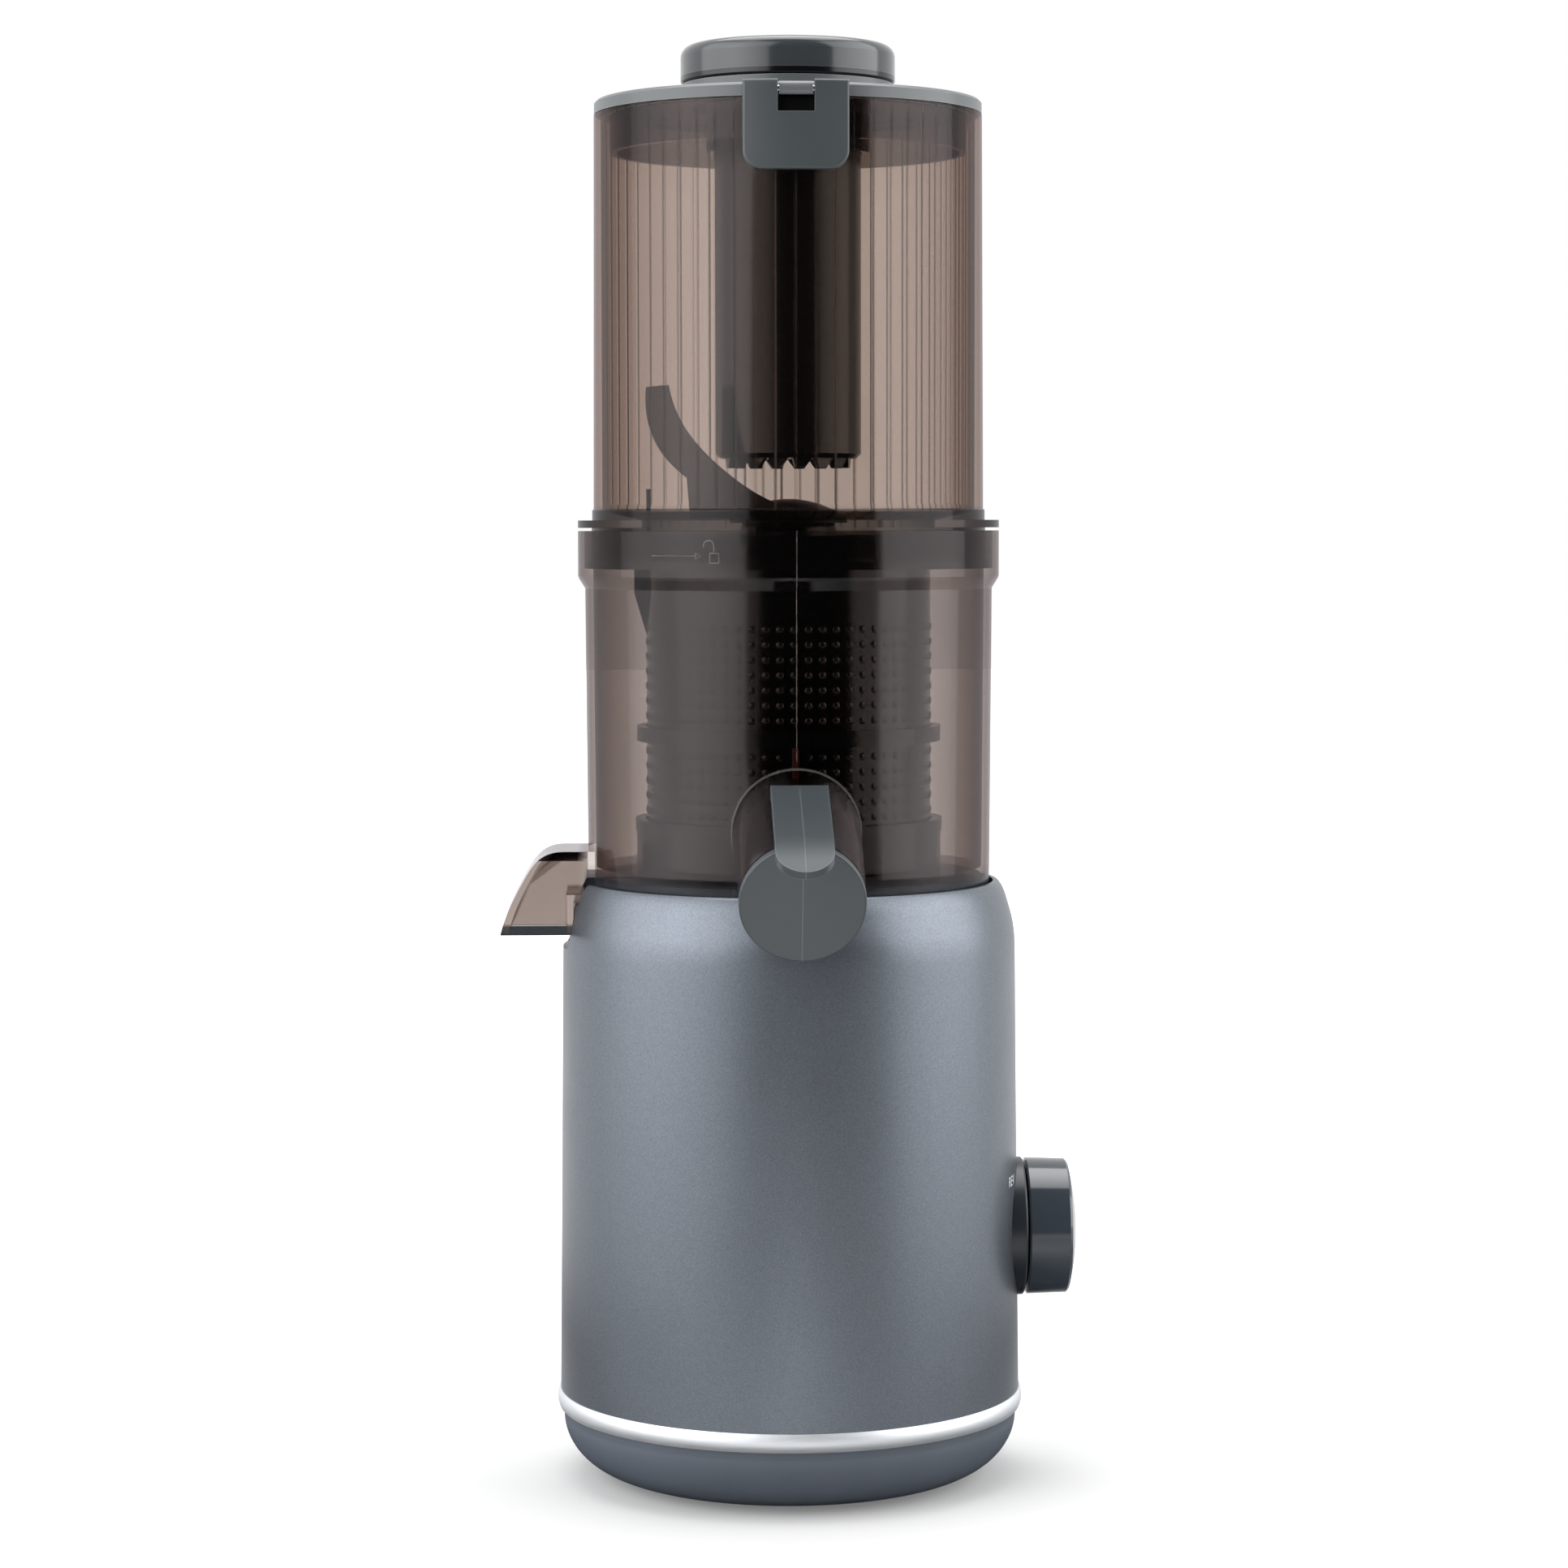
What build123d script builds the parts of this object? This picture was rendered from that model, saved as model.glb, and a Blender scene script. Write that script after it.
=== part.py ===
from build123d import *
from math import acos, atan2, cos, degrees, pi, radians, sin, sqrt, tan
import os

os.makedirs("parts", exist_ok=True)

# Cold press juicer, upright. Millimetres, +Z up, the origin on the main axis at the floor.
# The juice spout and the latch face -Y, the knob +X, the pulp chute -X and the cord +Y.

# Clearances
seat_gap = 0.3  # pieces that rest on each other and lift apart
slide_gap = 0.5  # lids, skirts and rings that slide or turn past each other
run_gap = 0.05  # shafts and pins in their bores, on the radius

# Base: feet, foot bowl, trim ring and painted body
foot_height = 0.8
foot_radius = 7.0
foot_circle = 44.5
foot_plug_radius = 3.0
foot_bowl_height = 21.6
foot_bowl_inset = 0.7
foot_bowl_taper = 0.4
foot_bowl_curve_width = 22.0
foot_bowl_curve_height = 18.8
ring_height = 5.9
ring_proud = 0.3
ring_bulge = 0.7
ring_lip_width = 1.1
ring_lip = 2.6
body_height = 165.6
body_bottom_radius = 74.9
body_taper = 1.4
shoulder_height = 25.7
shoulder_turn = 12.5
shoulder_turn_inset = 0.94
shoulder_bend = 7.2
shoulder_bend_inset = 2.4
shoulder_inset = 5.2
rim_width = 2.0
rim_edge = 0.6
base_wall = 2.4
recess_depth = 8.4
deck_thickness = 3.0
hub_radius = 16.0
hub_rise = 4.6
hub_drop = 6.5
case_screw_inset = 23.5
case_screw_radius = 2.0
case_screw_head_radius = 3.8
case_screw_head_height = 2.6
case_screw_length = 40.0
case_boss_radius = 5.0
case_boss_height = 45.0
vent_width = 3.0
vent_inner_radius = 22.0
vent_outer_radius = 37.0
vent_count = 20

# Selector knob and switch, on the +X side
knob_height = 79.5
bezel_radius = 22.5
bezel_rise = 1.5
bezel_bore_radius = 9.0
knob_radius = 22.3
knob_rim_radius = 21.9
knob_gap = 0.6
knob_depth = 13.9
knob_dome = 2.6
knob_wall = 2.4
knob_hub_radius = 6.0
spindle_radius = 3.0
spindle_grip = 7.0
switch_width = 24.0
switch_depth = 16.0
switch_bush_radius = 5.0
nut_across_flats = 14.0

# Cord inlet, at the back
gland_height = 46.0
gland_bore_radius = 3.6
gland_radius = 6.0
gland_flange_radius = 9.0
gland_flange = 2.2
gland_nose = 7.0

# Control board, inside the back wall
board_width = 56.0
board_height = 48.0
board_thickness = 1.6
board_bottom = 68.0
board_inset = 19.5
board_post_radius = 3.0
board_screw_radius = 1.3
board_screw_inset = 6.0
board_screw_length = 9.0

# Drive train, from the motor up to the hex shaft
centre_distance = 28.0
pin_radius = 2.5
gear_hub_radius = 4.3
first_pin_angle = 60.0
second_pin_angle = 120.0
fine_module = 0.8
coarse_module = 1.0
motor_pinion_teeth = 14
first_wheel_teeth = 56
first_pinion_teeth = 15
second_wheel_teeth = 55
second_pinion_teeth = 14
output_teeth = 42
fine_face = 5.5
coarse_face = 8.0
layer_gap = 2.2
gear_play = 0.16
gearbox_mount_drop = 10.5
gearbox_cover_thickness = 6.0
gearbox_floor = 3.0
gearbox_inner_inset = 8.0
gearbox_wall = 2.5
gearbox_screw_inset = 12.5
gearbox_screw_radius = 2.0
gearbox_lug_radius = 5.0
bush_wall = 5.0
seal_height = 4.0
shaft_radius = 6.0
hex_across_flats = 12.0
hex_rise = 20.0
motor_radius = 38.0
motor_height = 68.0
motor_wall = 2.0
motor_cap_thickness = 5.0
motor_shaft_radius = 3.0
motor_bush_radius = 7.0
magnet_thickness = 4.0
magnet_arc = 140.0
magnet_height = 45.0
air_gap = 0.8
core_height = 38.0
core_slots = 12
winding_radius = 26.0
winding_height = 4.0
commutator_radius = 12.0
commutator_height = 7.0
brush_width = 5.0
brush_height = 6.0
fan_radius = 30.0
fan_height = 11.0
fan_hub_radius = 8.0
fan_blades = 9
fan_plate = 1.6
fan_drop = 7.0

# Juicing bowl
bowl_foot_gap = 1.5
bowl_foot_step = 0.3
bowl_flare = 0.65
bowl_wall = 2.6
bowl_foot_height = 12.9
bowl_floor_thickness = 2.7
bowl_height = 102.8
collar_chamfer = 3.4
collar_step = 2.25
collar_height = 15.0
collar_wall = 2.0
collar_shelf = 3.0
collar_edge = 0.6
bayonet_lugs = 3
bayonet_lug_depth = 2.1
bayonet_lug_height = 3.4
bayonet_lug_drop = 0.5
bowl_lug_angle = 30.0
hopper_lug_angle = 26.0
seal_bore_gap = 0.3
bowl_seal_radius = 14.3
bowl_seal_lip = 1.0
magnet_inset = 10.0
magnet_angle = 62.0
magnet_disc_radius = 4.0
magnet_disc_height = 2.5
switch_pad_height = 7.0

# Juice spout: a tube that leans forward and down
spout_lean = 20.7
spout_root_step = 0.5
spout_root_height = 13.5
spout_root_radius = 20.0
spout_end_radius = 19.2
spout_wall = 3.1
spout_length = 42.0
cap_gap = 0.4
cap_thickness = 3.3
strap_width = 17.5
strap_thickness = 3.2
strap_lift = 0.2
strap_flat_end = 44.0
strap_bend_radius = 52.0
strap_bend_angle = 22.0
strap_tip_radius = 8.6
hinge_place = 11.4
hinge_radius = 2.5
hinge_pin_radius = 0.9
hinge_lug_radius = 1.6
hinge_lug_width = 6.4
cap_seal_radius = 18.2
cap_seal_thickness = 0.9

# Pulp chute: a duct under the bowl floor that turns down outside the base
chute_width = 34.0
chute_wall = 2.4
chute_top = 5.8
chute_mouth = 16.2
chute_opening = 23.5
chute_inset = 3.7
duct_bottom = 10.7
duct_start = 19.0
recess_clearance = 2.0
chute_recess_inset = 0.35
chute_recess_foot = 21.2
chute_recess_corner = 7.0
chute_shelf = 7.9
chute_bend_middle = 7.8
chute_bend_drop = 8.9

# Gears that turn the wiper frame
wiper_module = 1.5
sun_teeth = 20
idler_teeth = 20
ring_teeth = 60
wiper_gear_face = 5.8
wiper_gear_lift = 1.5
idler_pin_radius = 2.5
idler_angle = 90.0

# Strainer and wiper frame
strainer_radius = 45.9
strainer_wall = 1.4
strainer_rise = 8.3
strainer_floor = 2.0
strainer_flange = 2.5
strainer_top_rise = 8.0
strainer_finger = 15.0
strainer_finger_width = 3.0
gusset_reach = 4.0
gusset_drop = 24.0
pulp_hole_inner = 21.0
pulp_hole_outer = 42.0
pulp_hole_angle = 40.0
wiper_base_step = 3.4
wiper_flange_step = 3.8
wiper_base_height = 11.0
wiper_flange_height = 4.0
wiper_ring_rise = 40.7
wiper_ring_height = 4.8
wiper_ring_step = 3.3
wiper_ring_gap = 0.6
wiper_arm_width = 8.0
wiper_blade_thickness = 1.6
wiper_blade_gap = 0.6

# Auger and feed wing
auger_tube_radius = 10.5
auger_top_radius = 15.0
auger_foot_radius = 37.0
auger_foot_height = 4.0
auger_top_margin = 10.0
auger_height = 100.0
flight_pitch = 62.0
flight_starts = 2
flight_thickness = 4.0
flight_gap = 0.5
socket_wall = 2.0
socket_gap = 0.15
wing_hub_radius = 19.0
wing_hub_height = 7.8
wing_thickness = 7.0
wing_tip_height = 44.0
wing_tip_width = 7.3
wing_reach = 45.9
wing_foot = 1.5
wing_inner_curve = [(14.0, 4.4), (-6.0, 6.8), (-21.0, 16.5), (-33.0, 29.5)]
wing_outer_curve = [(-44.0, 28.5), (-33.0, 14.5)]
wing_heel = -32.0

# Hopper
hopper_gap = 1.0
hopper_flange_thickness = 2.4
hopper_foot_step = 4.6
hopper_foot_height = 3.2
hopper_foot_edge = 0.5
hopper_taper = 0.6
hopper_height = 129.3
hopper_wall = 2.8
hopper_throat_step = 1.5
hopper_skirt_drop = 10.2
hopper_skirt_wall = 2.0
rib_count = 60
rib_radius = 0.55
rib_start = 5.0
catch_depth = 0.6
catch_height = 2.0

# Lid, latch and pusher
lid_rim_height = 4.2
lid_inset = 0.1
lid_skirt_gap = 2.9
lid_skirt_drop = 12.2
lid_wall = 2.2
neck_radius = 33.9
neck_height = 5.5
pusher_radius = 23.5
pusher_wall = 2.2
pusher_tooth_radius = 20.0
pusher_tooth_height = 3.0
pusher_teeth = 16
pusher_drop = 119.8
cap_radius = 34.4
cap_plate = 2.0
cap_height = 10.0
cap_round = 3.8
cap_shell = 2.4
latch_width = 32.6
latch_height = 27.2
latch_gap = 0.7
latch_thickness = 4.2
latch_notch_width = 11.3
latch_notch_depth = 9.8
latch_corner = 6.0
latch_pin_radius = 1.1
latch_pin_inset = 1.4
latch_pin_drop = 2.8
latch_rise = 0.2
latch_edge = 0.9
latch_foot_margin = 1.5

# Radii worked out from the sizes above, from the base up
body_shoulder_radius = body_bottom_radius - body_taper
rim_radius = body_shoulder_radius - shoulder_inset
recess_radius = rim_radius - rim_width
foot_bowl_top_radius = body_bottom_radius - foot_bowl_inset
foot_bowl_side_radius = foot_bowl_top_radius - foot_bowl_taper
ring_radius = body_bottom_radius + ring_proud
ring_inner_radius = foot_bowl_side_radius - base_wall - seat_gap - ring_lip_width
case_screw_circle = body_shoulder_radius - case_screw_inset
gearbox_screw_circle = body_shoulder_radius - gearbox_screw_inset
gearbox_inner_radius = gearbox_screw_circle - gearbox_inner_inset
bezel_face = body_bottom_radius + bezel_rise
board_place = body_shoulder_radius - board_inset
bowl_foot_radius = recess_radius - bowl_foot_gap
bowl_bottom_radius = bowl_foot_radius + bowl_foot_step
bowl_top_radius = bowl_bottom_radius + bowl_flare
bowl_inner_radius = bowl_top_radius - bowl_wall
collar_radius = bowl_top_radius + collar_step
collar_inner_radius = collar_radius - collar_wall
spout_root = bowl_bottom_radius + spout_root_step
chute_inside = body_shoulder_radius - chute_inset
chute_reach = chute_inside + chute_opening
chute_bend_start = bowl_bottom_radius + chute_shelf
strainer_inner_radius = strainer_radius - strainer_wall
wiper_base_radius = strainer_radius + wiper_base_step
wiper_flange_radius = strainer_radius + wiper_flange_step
wiper_ring_radius = strainer_radius + wiper_ring_step
flight_radius = strainer_inner_radius - flight_gap
hopper_foot_radius = collar_radius - hopper_foot_step
hopper_bottom_radius = hopper_foot_radius - hopper_foot_edge
hopper_top_radius = hopper_bottom_radius - hopper_taper
hopper_inner_radius = hopper_bottom_radius - hopper_wall
hopper_throat_radius = strainer_radius + hopper_throat_step
lid_radius = hopper_top_radius - lid_inset
lid_skirt_radius = hopper_inner_radius - lid_skirt_gap
latch_inner_radius = hopper_bottom_radius + latch_gap
latch_outer_radius = latch_inner_radius + latch_thickness
latch_pin_place = latch_inner_radius + latch_pin_inset

# Levels worked out from the sizes above
foot_bowl_base = foot_height
ring_base = foot_bowl_base + foot_bowl_height
body_base = ring_base + ring_height
rim_top = body_base + body_height
shoulder_base = rim_top - shoulder_height
deck_top = rim_top - recess_depth
deck_under = deck_top - deck_thickness
hub_top = deck_top + hub_rise
hub_under = deck_under - hub_drop

gearbox_top = deck_under - gearbox_mount_drop
gearbox_cover_base = gearbox_top - gearbox_cover_thickness
output_base = gearbox_cover_base - layer_gap - coarse_face
second_base = output_base - layer_gap - fine_face
first_base = second_base - layer_gap - fine_face
gearbox_inside = first_base - layer_gap
gearbox_base = gearbox_inside - gearbox_floor
motor_base = gearbox_base - motor_height
motor_cap_base = motor_base - motor_cap_thickness
fan_base = motor_cap_base - fan_drop - fan_height

bowl_base = deck_top + seat_gap
floor_top = bowl_base + bowl_foot_height
floor_under = floor_top - bowl_floor_thickness
collar_base = bowl_base + bowl_height + collar_chamfer
collar_top = collar_base + collar_height
ledge = collar_base + collar_shelf

gear_level = floor_top + wiper_gear_lift
gear_level_top = gear_level + wiper_gear_face
strainer_base = floor_top + strainer_rise
auger_base = strainer_base + strainer_floor + slide_gap
auger_top = auger_base + auger_height
auger_foot_top = auger_base + auger_foot_height
drive_top = deck_top + hex_rise
auger_foot = hub_top + 1.0

hopper_base = collar_top + hopper_gap
hopper_floor = hopper_base + hopper_flange_thickness
hopper_top = hopper_floor + hopper_height
lid_base = hopper_top + seat_gap
lid_top = lid_base + lid_rim_height
neck_top = lid_top + neck_height
cap_base = neck_top + seat_gap
cap_seam = cap_base + cap_plate
pusher_foot = cap_base - pusher_drop
latch_top = lid_top + latch_rise
latch_foot = latch_top - latch_height


# Closed outline of (radius or x, height) points in the upright XZ plane
def side_outline(points):
    with BuildSketch(Plane.XZ) as outline:
        with BuildLine():
            Polyline(points, close=True)
        make_face()
    return outline.sketch


# Ring of rectangular section between two radii and two levels
def ring_outline(inner, outer, low, high):
    return side_outline([(inner, low), (outer, low), (outer, high), (inner, high)])


# Half the angle that a gear tooth takes at a radius, in radians
def tooth_half_angle(teeth, module, play, radius):
    pitch_radius = teeth * module / 2
    base_radius = pitch_radius * cos(radians(20))
    at_pitch = pi / (2 * teeth) - play / (2 * pitch_radius)
    pressure = acos(min(1, base_radius / radius))
    return at_pitch + tan(radians(20)) - radians(20) - tan(pressure) + pressure


# Involute gear outline. A first tooth points at the turn angle, in degrees.
def gear_outline(teeth, module, level, centre=(0, 0), turn=0, play=gear_play, tip=1.0, root=1.25):
    pitch_radius = teeth * module / 2
    tip_radius = pitch_radius + tip * module
    root_radius = pitch_radius - root * module
    start_radius = max(root_radius, pitch_radius * cos(radians(20)))
    flank = []
    for step in range(4):
        radius = start_radius + (tip_radius - start_radius) * step / 3
        half = tooth_half_angle(teeth, module, play, radius)
        flank.append((radius * cos(half), radius * sin(half)))
    foot_half = tooth_half_angle(teeth, module, play, start_radius)
    inside = root_radius - 0.3 * module
    foot = (inside * cos(foot_half), inside * sin(foot_half))
    with BuildSketch() as tooth:
        with BuildLine():
            Polyline([(x, -y) for x, y in reversed(flank)] + [(foot[0], -foot[1]), foot] + flank)
            ThreePointArc(flank[-1], (tip_radius, 0), (flank[-1][0], -flank[-1][1]))
        make_face()
    plane = Plane((centre[0], centre[1], level)).rotated((0, 0, turn))
    with BuildSketch(plane) as outline:
        Circle(root_radius)
        with PolarLocations(0, teeth):
            add(tooth.sketch)
    return outline.sketch


# Place on a circle about the main axis
def on_circle(radius, angle):
    return (radius * cos(radians(angle)), radius * sin(radians(angle)))


# Base
foot_places = [on_circle(foot_circle, angle) for angle in (0, 90, 180, 270)]
case_screw_places = [on_circle(case_screw_circle, angle) for angle in (45, 135, 225, 315)]
gearbox_screw_places = [on_circle(gearbox_screw_circle, angle) for angle in (0, 90, 180, 270)]
spout_dir = (0, -cos(radians(spout_lean)), -sin(radians(spout_lean)))
spout_start = (0, -spout_root, floor_top + spout_root_height)
spout_plane = Plane(origin=spout_start, x_dir=(1, 0, 0), z_dir=spout_dir)

board_post_x = board_width / 2 - board_screw_inset
board_post_end = sqrt(body_shoulder_radius**2 - board_post_x**2) - base_wall / 2
board_post_length = board_post_end - board_place - board_thickness
chute_space = chute_width + 2 * recess_clearance
web_outer = body_shoulder_radius - base_wall / 4
web_middle = (case_screw_circle + web_outer) / 2

with BuildPart() as base_body:
    with BuildSketch(Plane.XZ):
        with BuildLine():
            side = Line((body_bottom_radius, body_base), (body_shoulder_radius, shoulder_base))
            shoulder = Spline(
                side @ 1,
                (body_shoulder_radius - shoulder_turn_inset, rim_top - shoulder_turn),
                (body_shoulder_radius - shoulder_bend_inset, rim_top - shoulder_bend),
                (rim_radius, rim_top - rim_edge),
                tangents=(side % 1, (-0.8, 1)),
            )
            Polyline(
                shoulder @ 1,
                (rim_radius - rim_edge, rim_top),
                (recess_radius, rim_top),
                (recess_radius, deck_top),
                (hub_radius, deck_top),
                (hub_radius - 1, hub_top),
                (shaft_radius + bush_wall, hub_top),
                (shaft_radius + bush_wall, hub_under),
                (hub_radius, hub_under),
                (hub_radius, deck_under),
                (rim_radius - base_wall, deck_under),
                (body_shoulder_radius - base_wall, shoulder_base),
                (body_bottom_radius - base_wall, body_base),
                side @ 0,
            )
        make_face()
    revolve(axis=Axis.Z)
    # Screw bosses for the foot bowl, each with a web to the wall
    with BuildSketch(Plane.XY.offset(body_base)):
        with PolarLocations(case_screw_circle, 4, start_angle=45):
            Circle(case_boss_radius)
        with PolarLocations(web_middle, 4, start_angle=45):
            Rectangle(web_outer - case_screw_circle, base_wall)
    extrude(amount=case_boss_height)
    # Bosses under the deck that carry the gearbox
    with BuildSketch(Plane.XY.offset(gearbox_top)):
        with PolarLocations(gearbox_screw_circle, 4):
            Circle(gearbox_lug_radius)
    extrude(amount=gearbox_mount_drop)
    # Posts for the control board
    with BuildSketch(Plane.XZ.offset(-board_post_end)):
        with Locations((0, board_bottom + board_height / 2)):
            with GridLocations(2 * board_post_x, board_height - 2 * board_screw_inset, 2, 2):
                Circle(board_post_radius)
    extrude(amount=board_post_length)
    # Backing of the recess that clears the pulp chute
    recess_face = chute_inside - chute_recess_inset
    with BuildSketch(Plane.XY.offset(rim_top - chute_recess_foot - base_wall)):
        with Locations((-recess_face + base_wall / 2, 0)):
            Rectangle(base_wall, chute_space + 2 * base_wall)
    extrude(until=Until.NEXT)
    with BuildSketch(Plane.YZ.offset(-recess_face)):
        with Locations((0, rim_top)):
            RectangleRounded(chute_space, 2 * chute_recess_foot, chute_recess_corner)
    extrude(amount=-body_bottom_radius, mode=Mode.SUBTRACT)
    # Notch in the rim for the pulp duct
    with BuildSketch(Plane.YZ.offset(-recess_radius + 2 * rim_width)):
        with Locations((0, rim_top)):
            Rectangle(chute_space, 2 * (recess_depth - rim_width))
    extrude(amount=-body_bottom_radius / 4, mode=Mode.SUBTRACT)
    # Dip in the rim under the juice spout
    with BuildSketch(spout_plane.offset(-spout_root / 8)):
        Circle(spout_root_radius + slide_gap + seat_gap)
    extrude(amount=spout_root / 8 + spout_length, mode=Mode.SUBTRACT)
    # Holes: screws, switch bush and cord gland
    with Locations(*[(x, y, body_base) for x, y in case_screw_places]):
        Cylinder(case_screw_radius, 2 * case_screw_length, mode=Mode.SUBTRACT)
    with Locations(*[(x, y, gearbox_top) for x, y in gearbox_screw_places]):
        Cylinder(gearbox_screw_radius, 2 * gearbox_mount_drop - 2, mode=Mode.SUBTRACT)
    with BuildSketch(Plane.YZ.offset(body_shoulder_radius - 2 * base_wall)):
        with Locations((0, knob_height)):
            Circle(switch_bush_radius)
    extrude(amount=4 * base_wall, mode=Mode.SUBTRACT)
    with BuildSketch(Plane.XZ.offset(-body_shoulder_radius + 2 * base_wall)):
        with Locations((0, gland_height)):
            Circle(gland_radius)
    extrude(amount=-4 * base_wall, mode=Mode.SUBTRACT)
    with BuildSketch(Plane.XZ.offset(-board_place)):
        with Locations((0, board_bottom + board_height / 2)):
            with GridLocations(2 * board_post_x, board_height - 2 * board_screw_inset, 2, 2):
                Circle(board_screw_radius)
    extrude(amount=-board_screw_length, mode=Mode.SUBTRACT)

base_body.part.label = "base_body"
export_step(base_body.part, "parts/base_body.step")

with BuildPart() as trim_ring:
    with BuildSketch(Plane.XZ):
        with BuildLine():
            bulge = ThreePointArc(
                (ring_radius, ring_base),
                (ring_radius + ring_bulge, ring_base + ring_height / 2),
                (ring_radius, body_base),
            )
            Polyline(
                bulge @ 1,
                (body_bottom_radius - base_wall - seat_gap, body_base),
                (body_bottom_radius - base_wall - seat_gap, body_base + ring_lip),
                (ring_inner_radius, body_base + ring_lip),
                (ring_inner_radius, ring_base - ring_lip),
                (foot_bowl_side_radius - base_wall - seat_gap, ring_base - ring_lip),
                (foot_bowl_side_radius - base_wall - seat_gap, ring_base),
                bulge @ 0,
            )
        make_face()
    revolve(axis=Axis.Z)
    # The lip gives way to the webs of the screw bosses
    with BuildSketch(Plane.XY.offset(body_base)):
        with PolarLocations(web_middle, 4, start_angle=45):
            Rectangle(web_outer - case_screw_circle, base_wall + 2 * slide_gap)
    extrude(amount=ring_lip, mode=Mode.SUBTRACT)
trim_ring.part.label = "trim_ring"
export_step(trim_ring.part, "parts/trim_ring.step")

with BuildPart() as foot_bowl:
    curve_start = foot_bowl_side_radius - foot_bowl_curve_width
    curve_top = foot_bowl_base + foot_bowl_curve_height
    with BuildSketch(Plane.XZ):
        with BuildLine():
            round_edge = EllipticalCenterArc(
                (curve_start, curve_top), foot_bowl_curve_width, foot_bowl_curve_height, 270, arc_size=90
            )
            Polyline(
                round_edge @ 1,
                (foot_bowl_top_radius, ring_base),
                (foot_bowl_top_radius - base_wall, ring_base),
                (foot_bowl_side_radius - base_wall, curve_top),
            )
            inner_edge = EllipticalCenterArc(
                (curve_start, curve_top),
                foot_bowl_curve_width - base_wall,
                foot_bowl_curve_height - base_wall,
                270,
                arc_size=90,
            )
            Polyline(
                inner_edge @ 0, (0, foot_bowl_base + base_wall), (0, foot_bowl_base), round_edge @ 0
            )
        make_face()
    revolve(axis=Axis.Z)
    with BuildSketch(Plane.XY.offset(foot_bowl_base + base_wall / 2)):
        with PolarLocations(case_screw_circle, 4, start_angle=45):
            Circle(case_boss_radius)
    extrude(amount=body_base - foot_bowl_base - base_wall / 2)
    with BuildSketch(Plane.XY.offset(foot_bowl_base)):
        with PolarLocations(case_screw_circle, 4, start_angle=45):
            Circle(case_screw_head_radius + seat_gap)
    extrude(amount=case_screw_head_height, mode=Mode.SUBTRACT)
    with BuildSketch(Plane.XY.offset(foot_bowl_base)):
        with PolarLocations(case_screw_circle, 4, start_angle=45):
            Circle(case_screw_radius)
        with PolarLocations(foot_circle, 4):
            Circle(foot_plug_radius)
        with PolarLocations((vent_inner_radius + vent_outer_radius) / 2, vent_count):
            SlotOverall(vent_outer_radius - vent_inner_radius, vent_width)
    extrude(amount=foot_bowl_height + ring_height, mode=Mode.SUBTRACT)
foot_bowl.part.label = "foot_bowl"
export_step(foot_bowl.part, "parts/foot_bowl.step")

with BuildPart() as rubber_feet:
    with Locations(*[(x, y, 0) for x, y in foot_places]):
        Cylinder(foot_radius, foot_height, align=(Align.CENTER, Align.CENTER, Align.MIN))
        Cylinder(
            foot_plug_radius,
            foot_height + base_wall + 1,
            align=(Align.CENTER, Align.CENTER, Align.MIN),
        )
    fillet(rubber_feet.edges().group_by(Axis.Z)[0], foot_height / 2)
rubber_feet.part.label = "rubber_feet"
export_step(rubber_feet.part, "parts/rubber_feet.step")


# Group of round-headed screws, heads down at a level, shanks up
def screw_group(name, places, level, head_radius, head_height, shank_radius, length):
    with BuildPart() as screws:
        with Locations(*[(x, y, level) for x, y in places]):
            Cylinder(head_radius, head_height, align=(Align.CENTER, Align.CENTER, Align.MIN))
            Cylinder(shank_radius, length, align=(Align.CENTER, Align.CENTER, Align.MIN))
        with Locations(*[(x, y, level) for x, y in places]):
            Box(head_radius * 1.2, 0.8, head_height, mode=Mode.SUBTRACT)
            Box(0.8, head_radius * 1.2, head_height, mode=Mode.SUBTRACT)
    screws.part.label = name
    export_step(screws.part, "parts/" + name + ".step")


screw_group(
    "foot_screws",
    case_screw_places,
    foot_bowl_base,
    case_screw_head_radius,
    case_screw_head_height,
    case_screw_radius,
    case_screw_length,
)

# Knob and switch
with BuildPart() as knob_bezel:
    with BuildSketch(Plane.YZ.offset(body_shoulder_radius / 2)):
        with Locations((0, knob_height)):
            Circle(bezel_radius)
            Circle(bezel_bore_radius, mode=Mode.SUBTRACT)
    extrude(amount=bezel_face - body_shoulder_radius / 2)
    fillet(knob_bezel.edges().filter_by(GeomType.CIRCLE).sort_by(Axis.X)[-2:], 0.8)
    # The back is hollowed to the body's own taper
    with BuildSketch(Plane.XZ):
        with BuildLine():
            Polyline(
                (0, body_base),
                (body_bottom_radius, body_base),
                (body_shoulder_radius, shoulder_base),
                (0, shoulder_base),
                close=True,
            )
        make_face()
    revolve(axis=Axis.Z, mode=Mode.SUBTRACT)
knob_bezel.part.label = "knob_bezel"
export_step(knob_bezel.part, "parts/knob_bezel.step")

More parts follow.
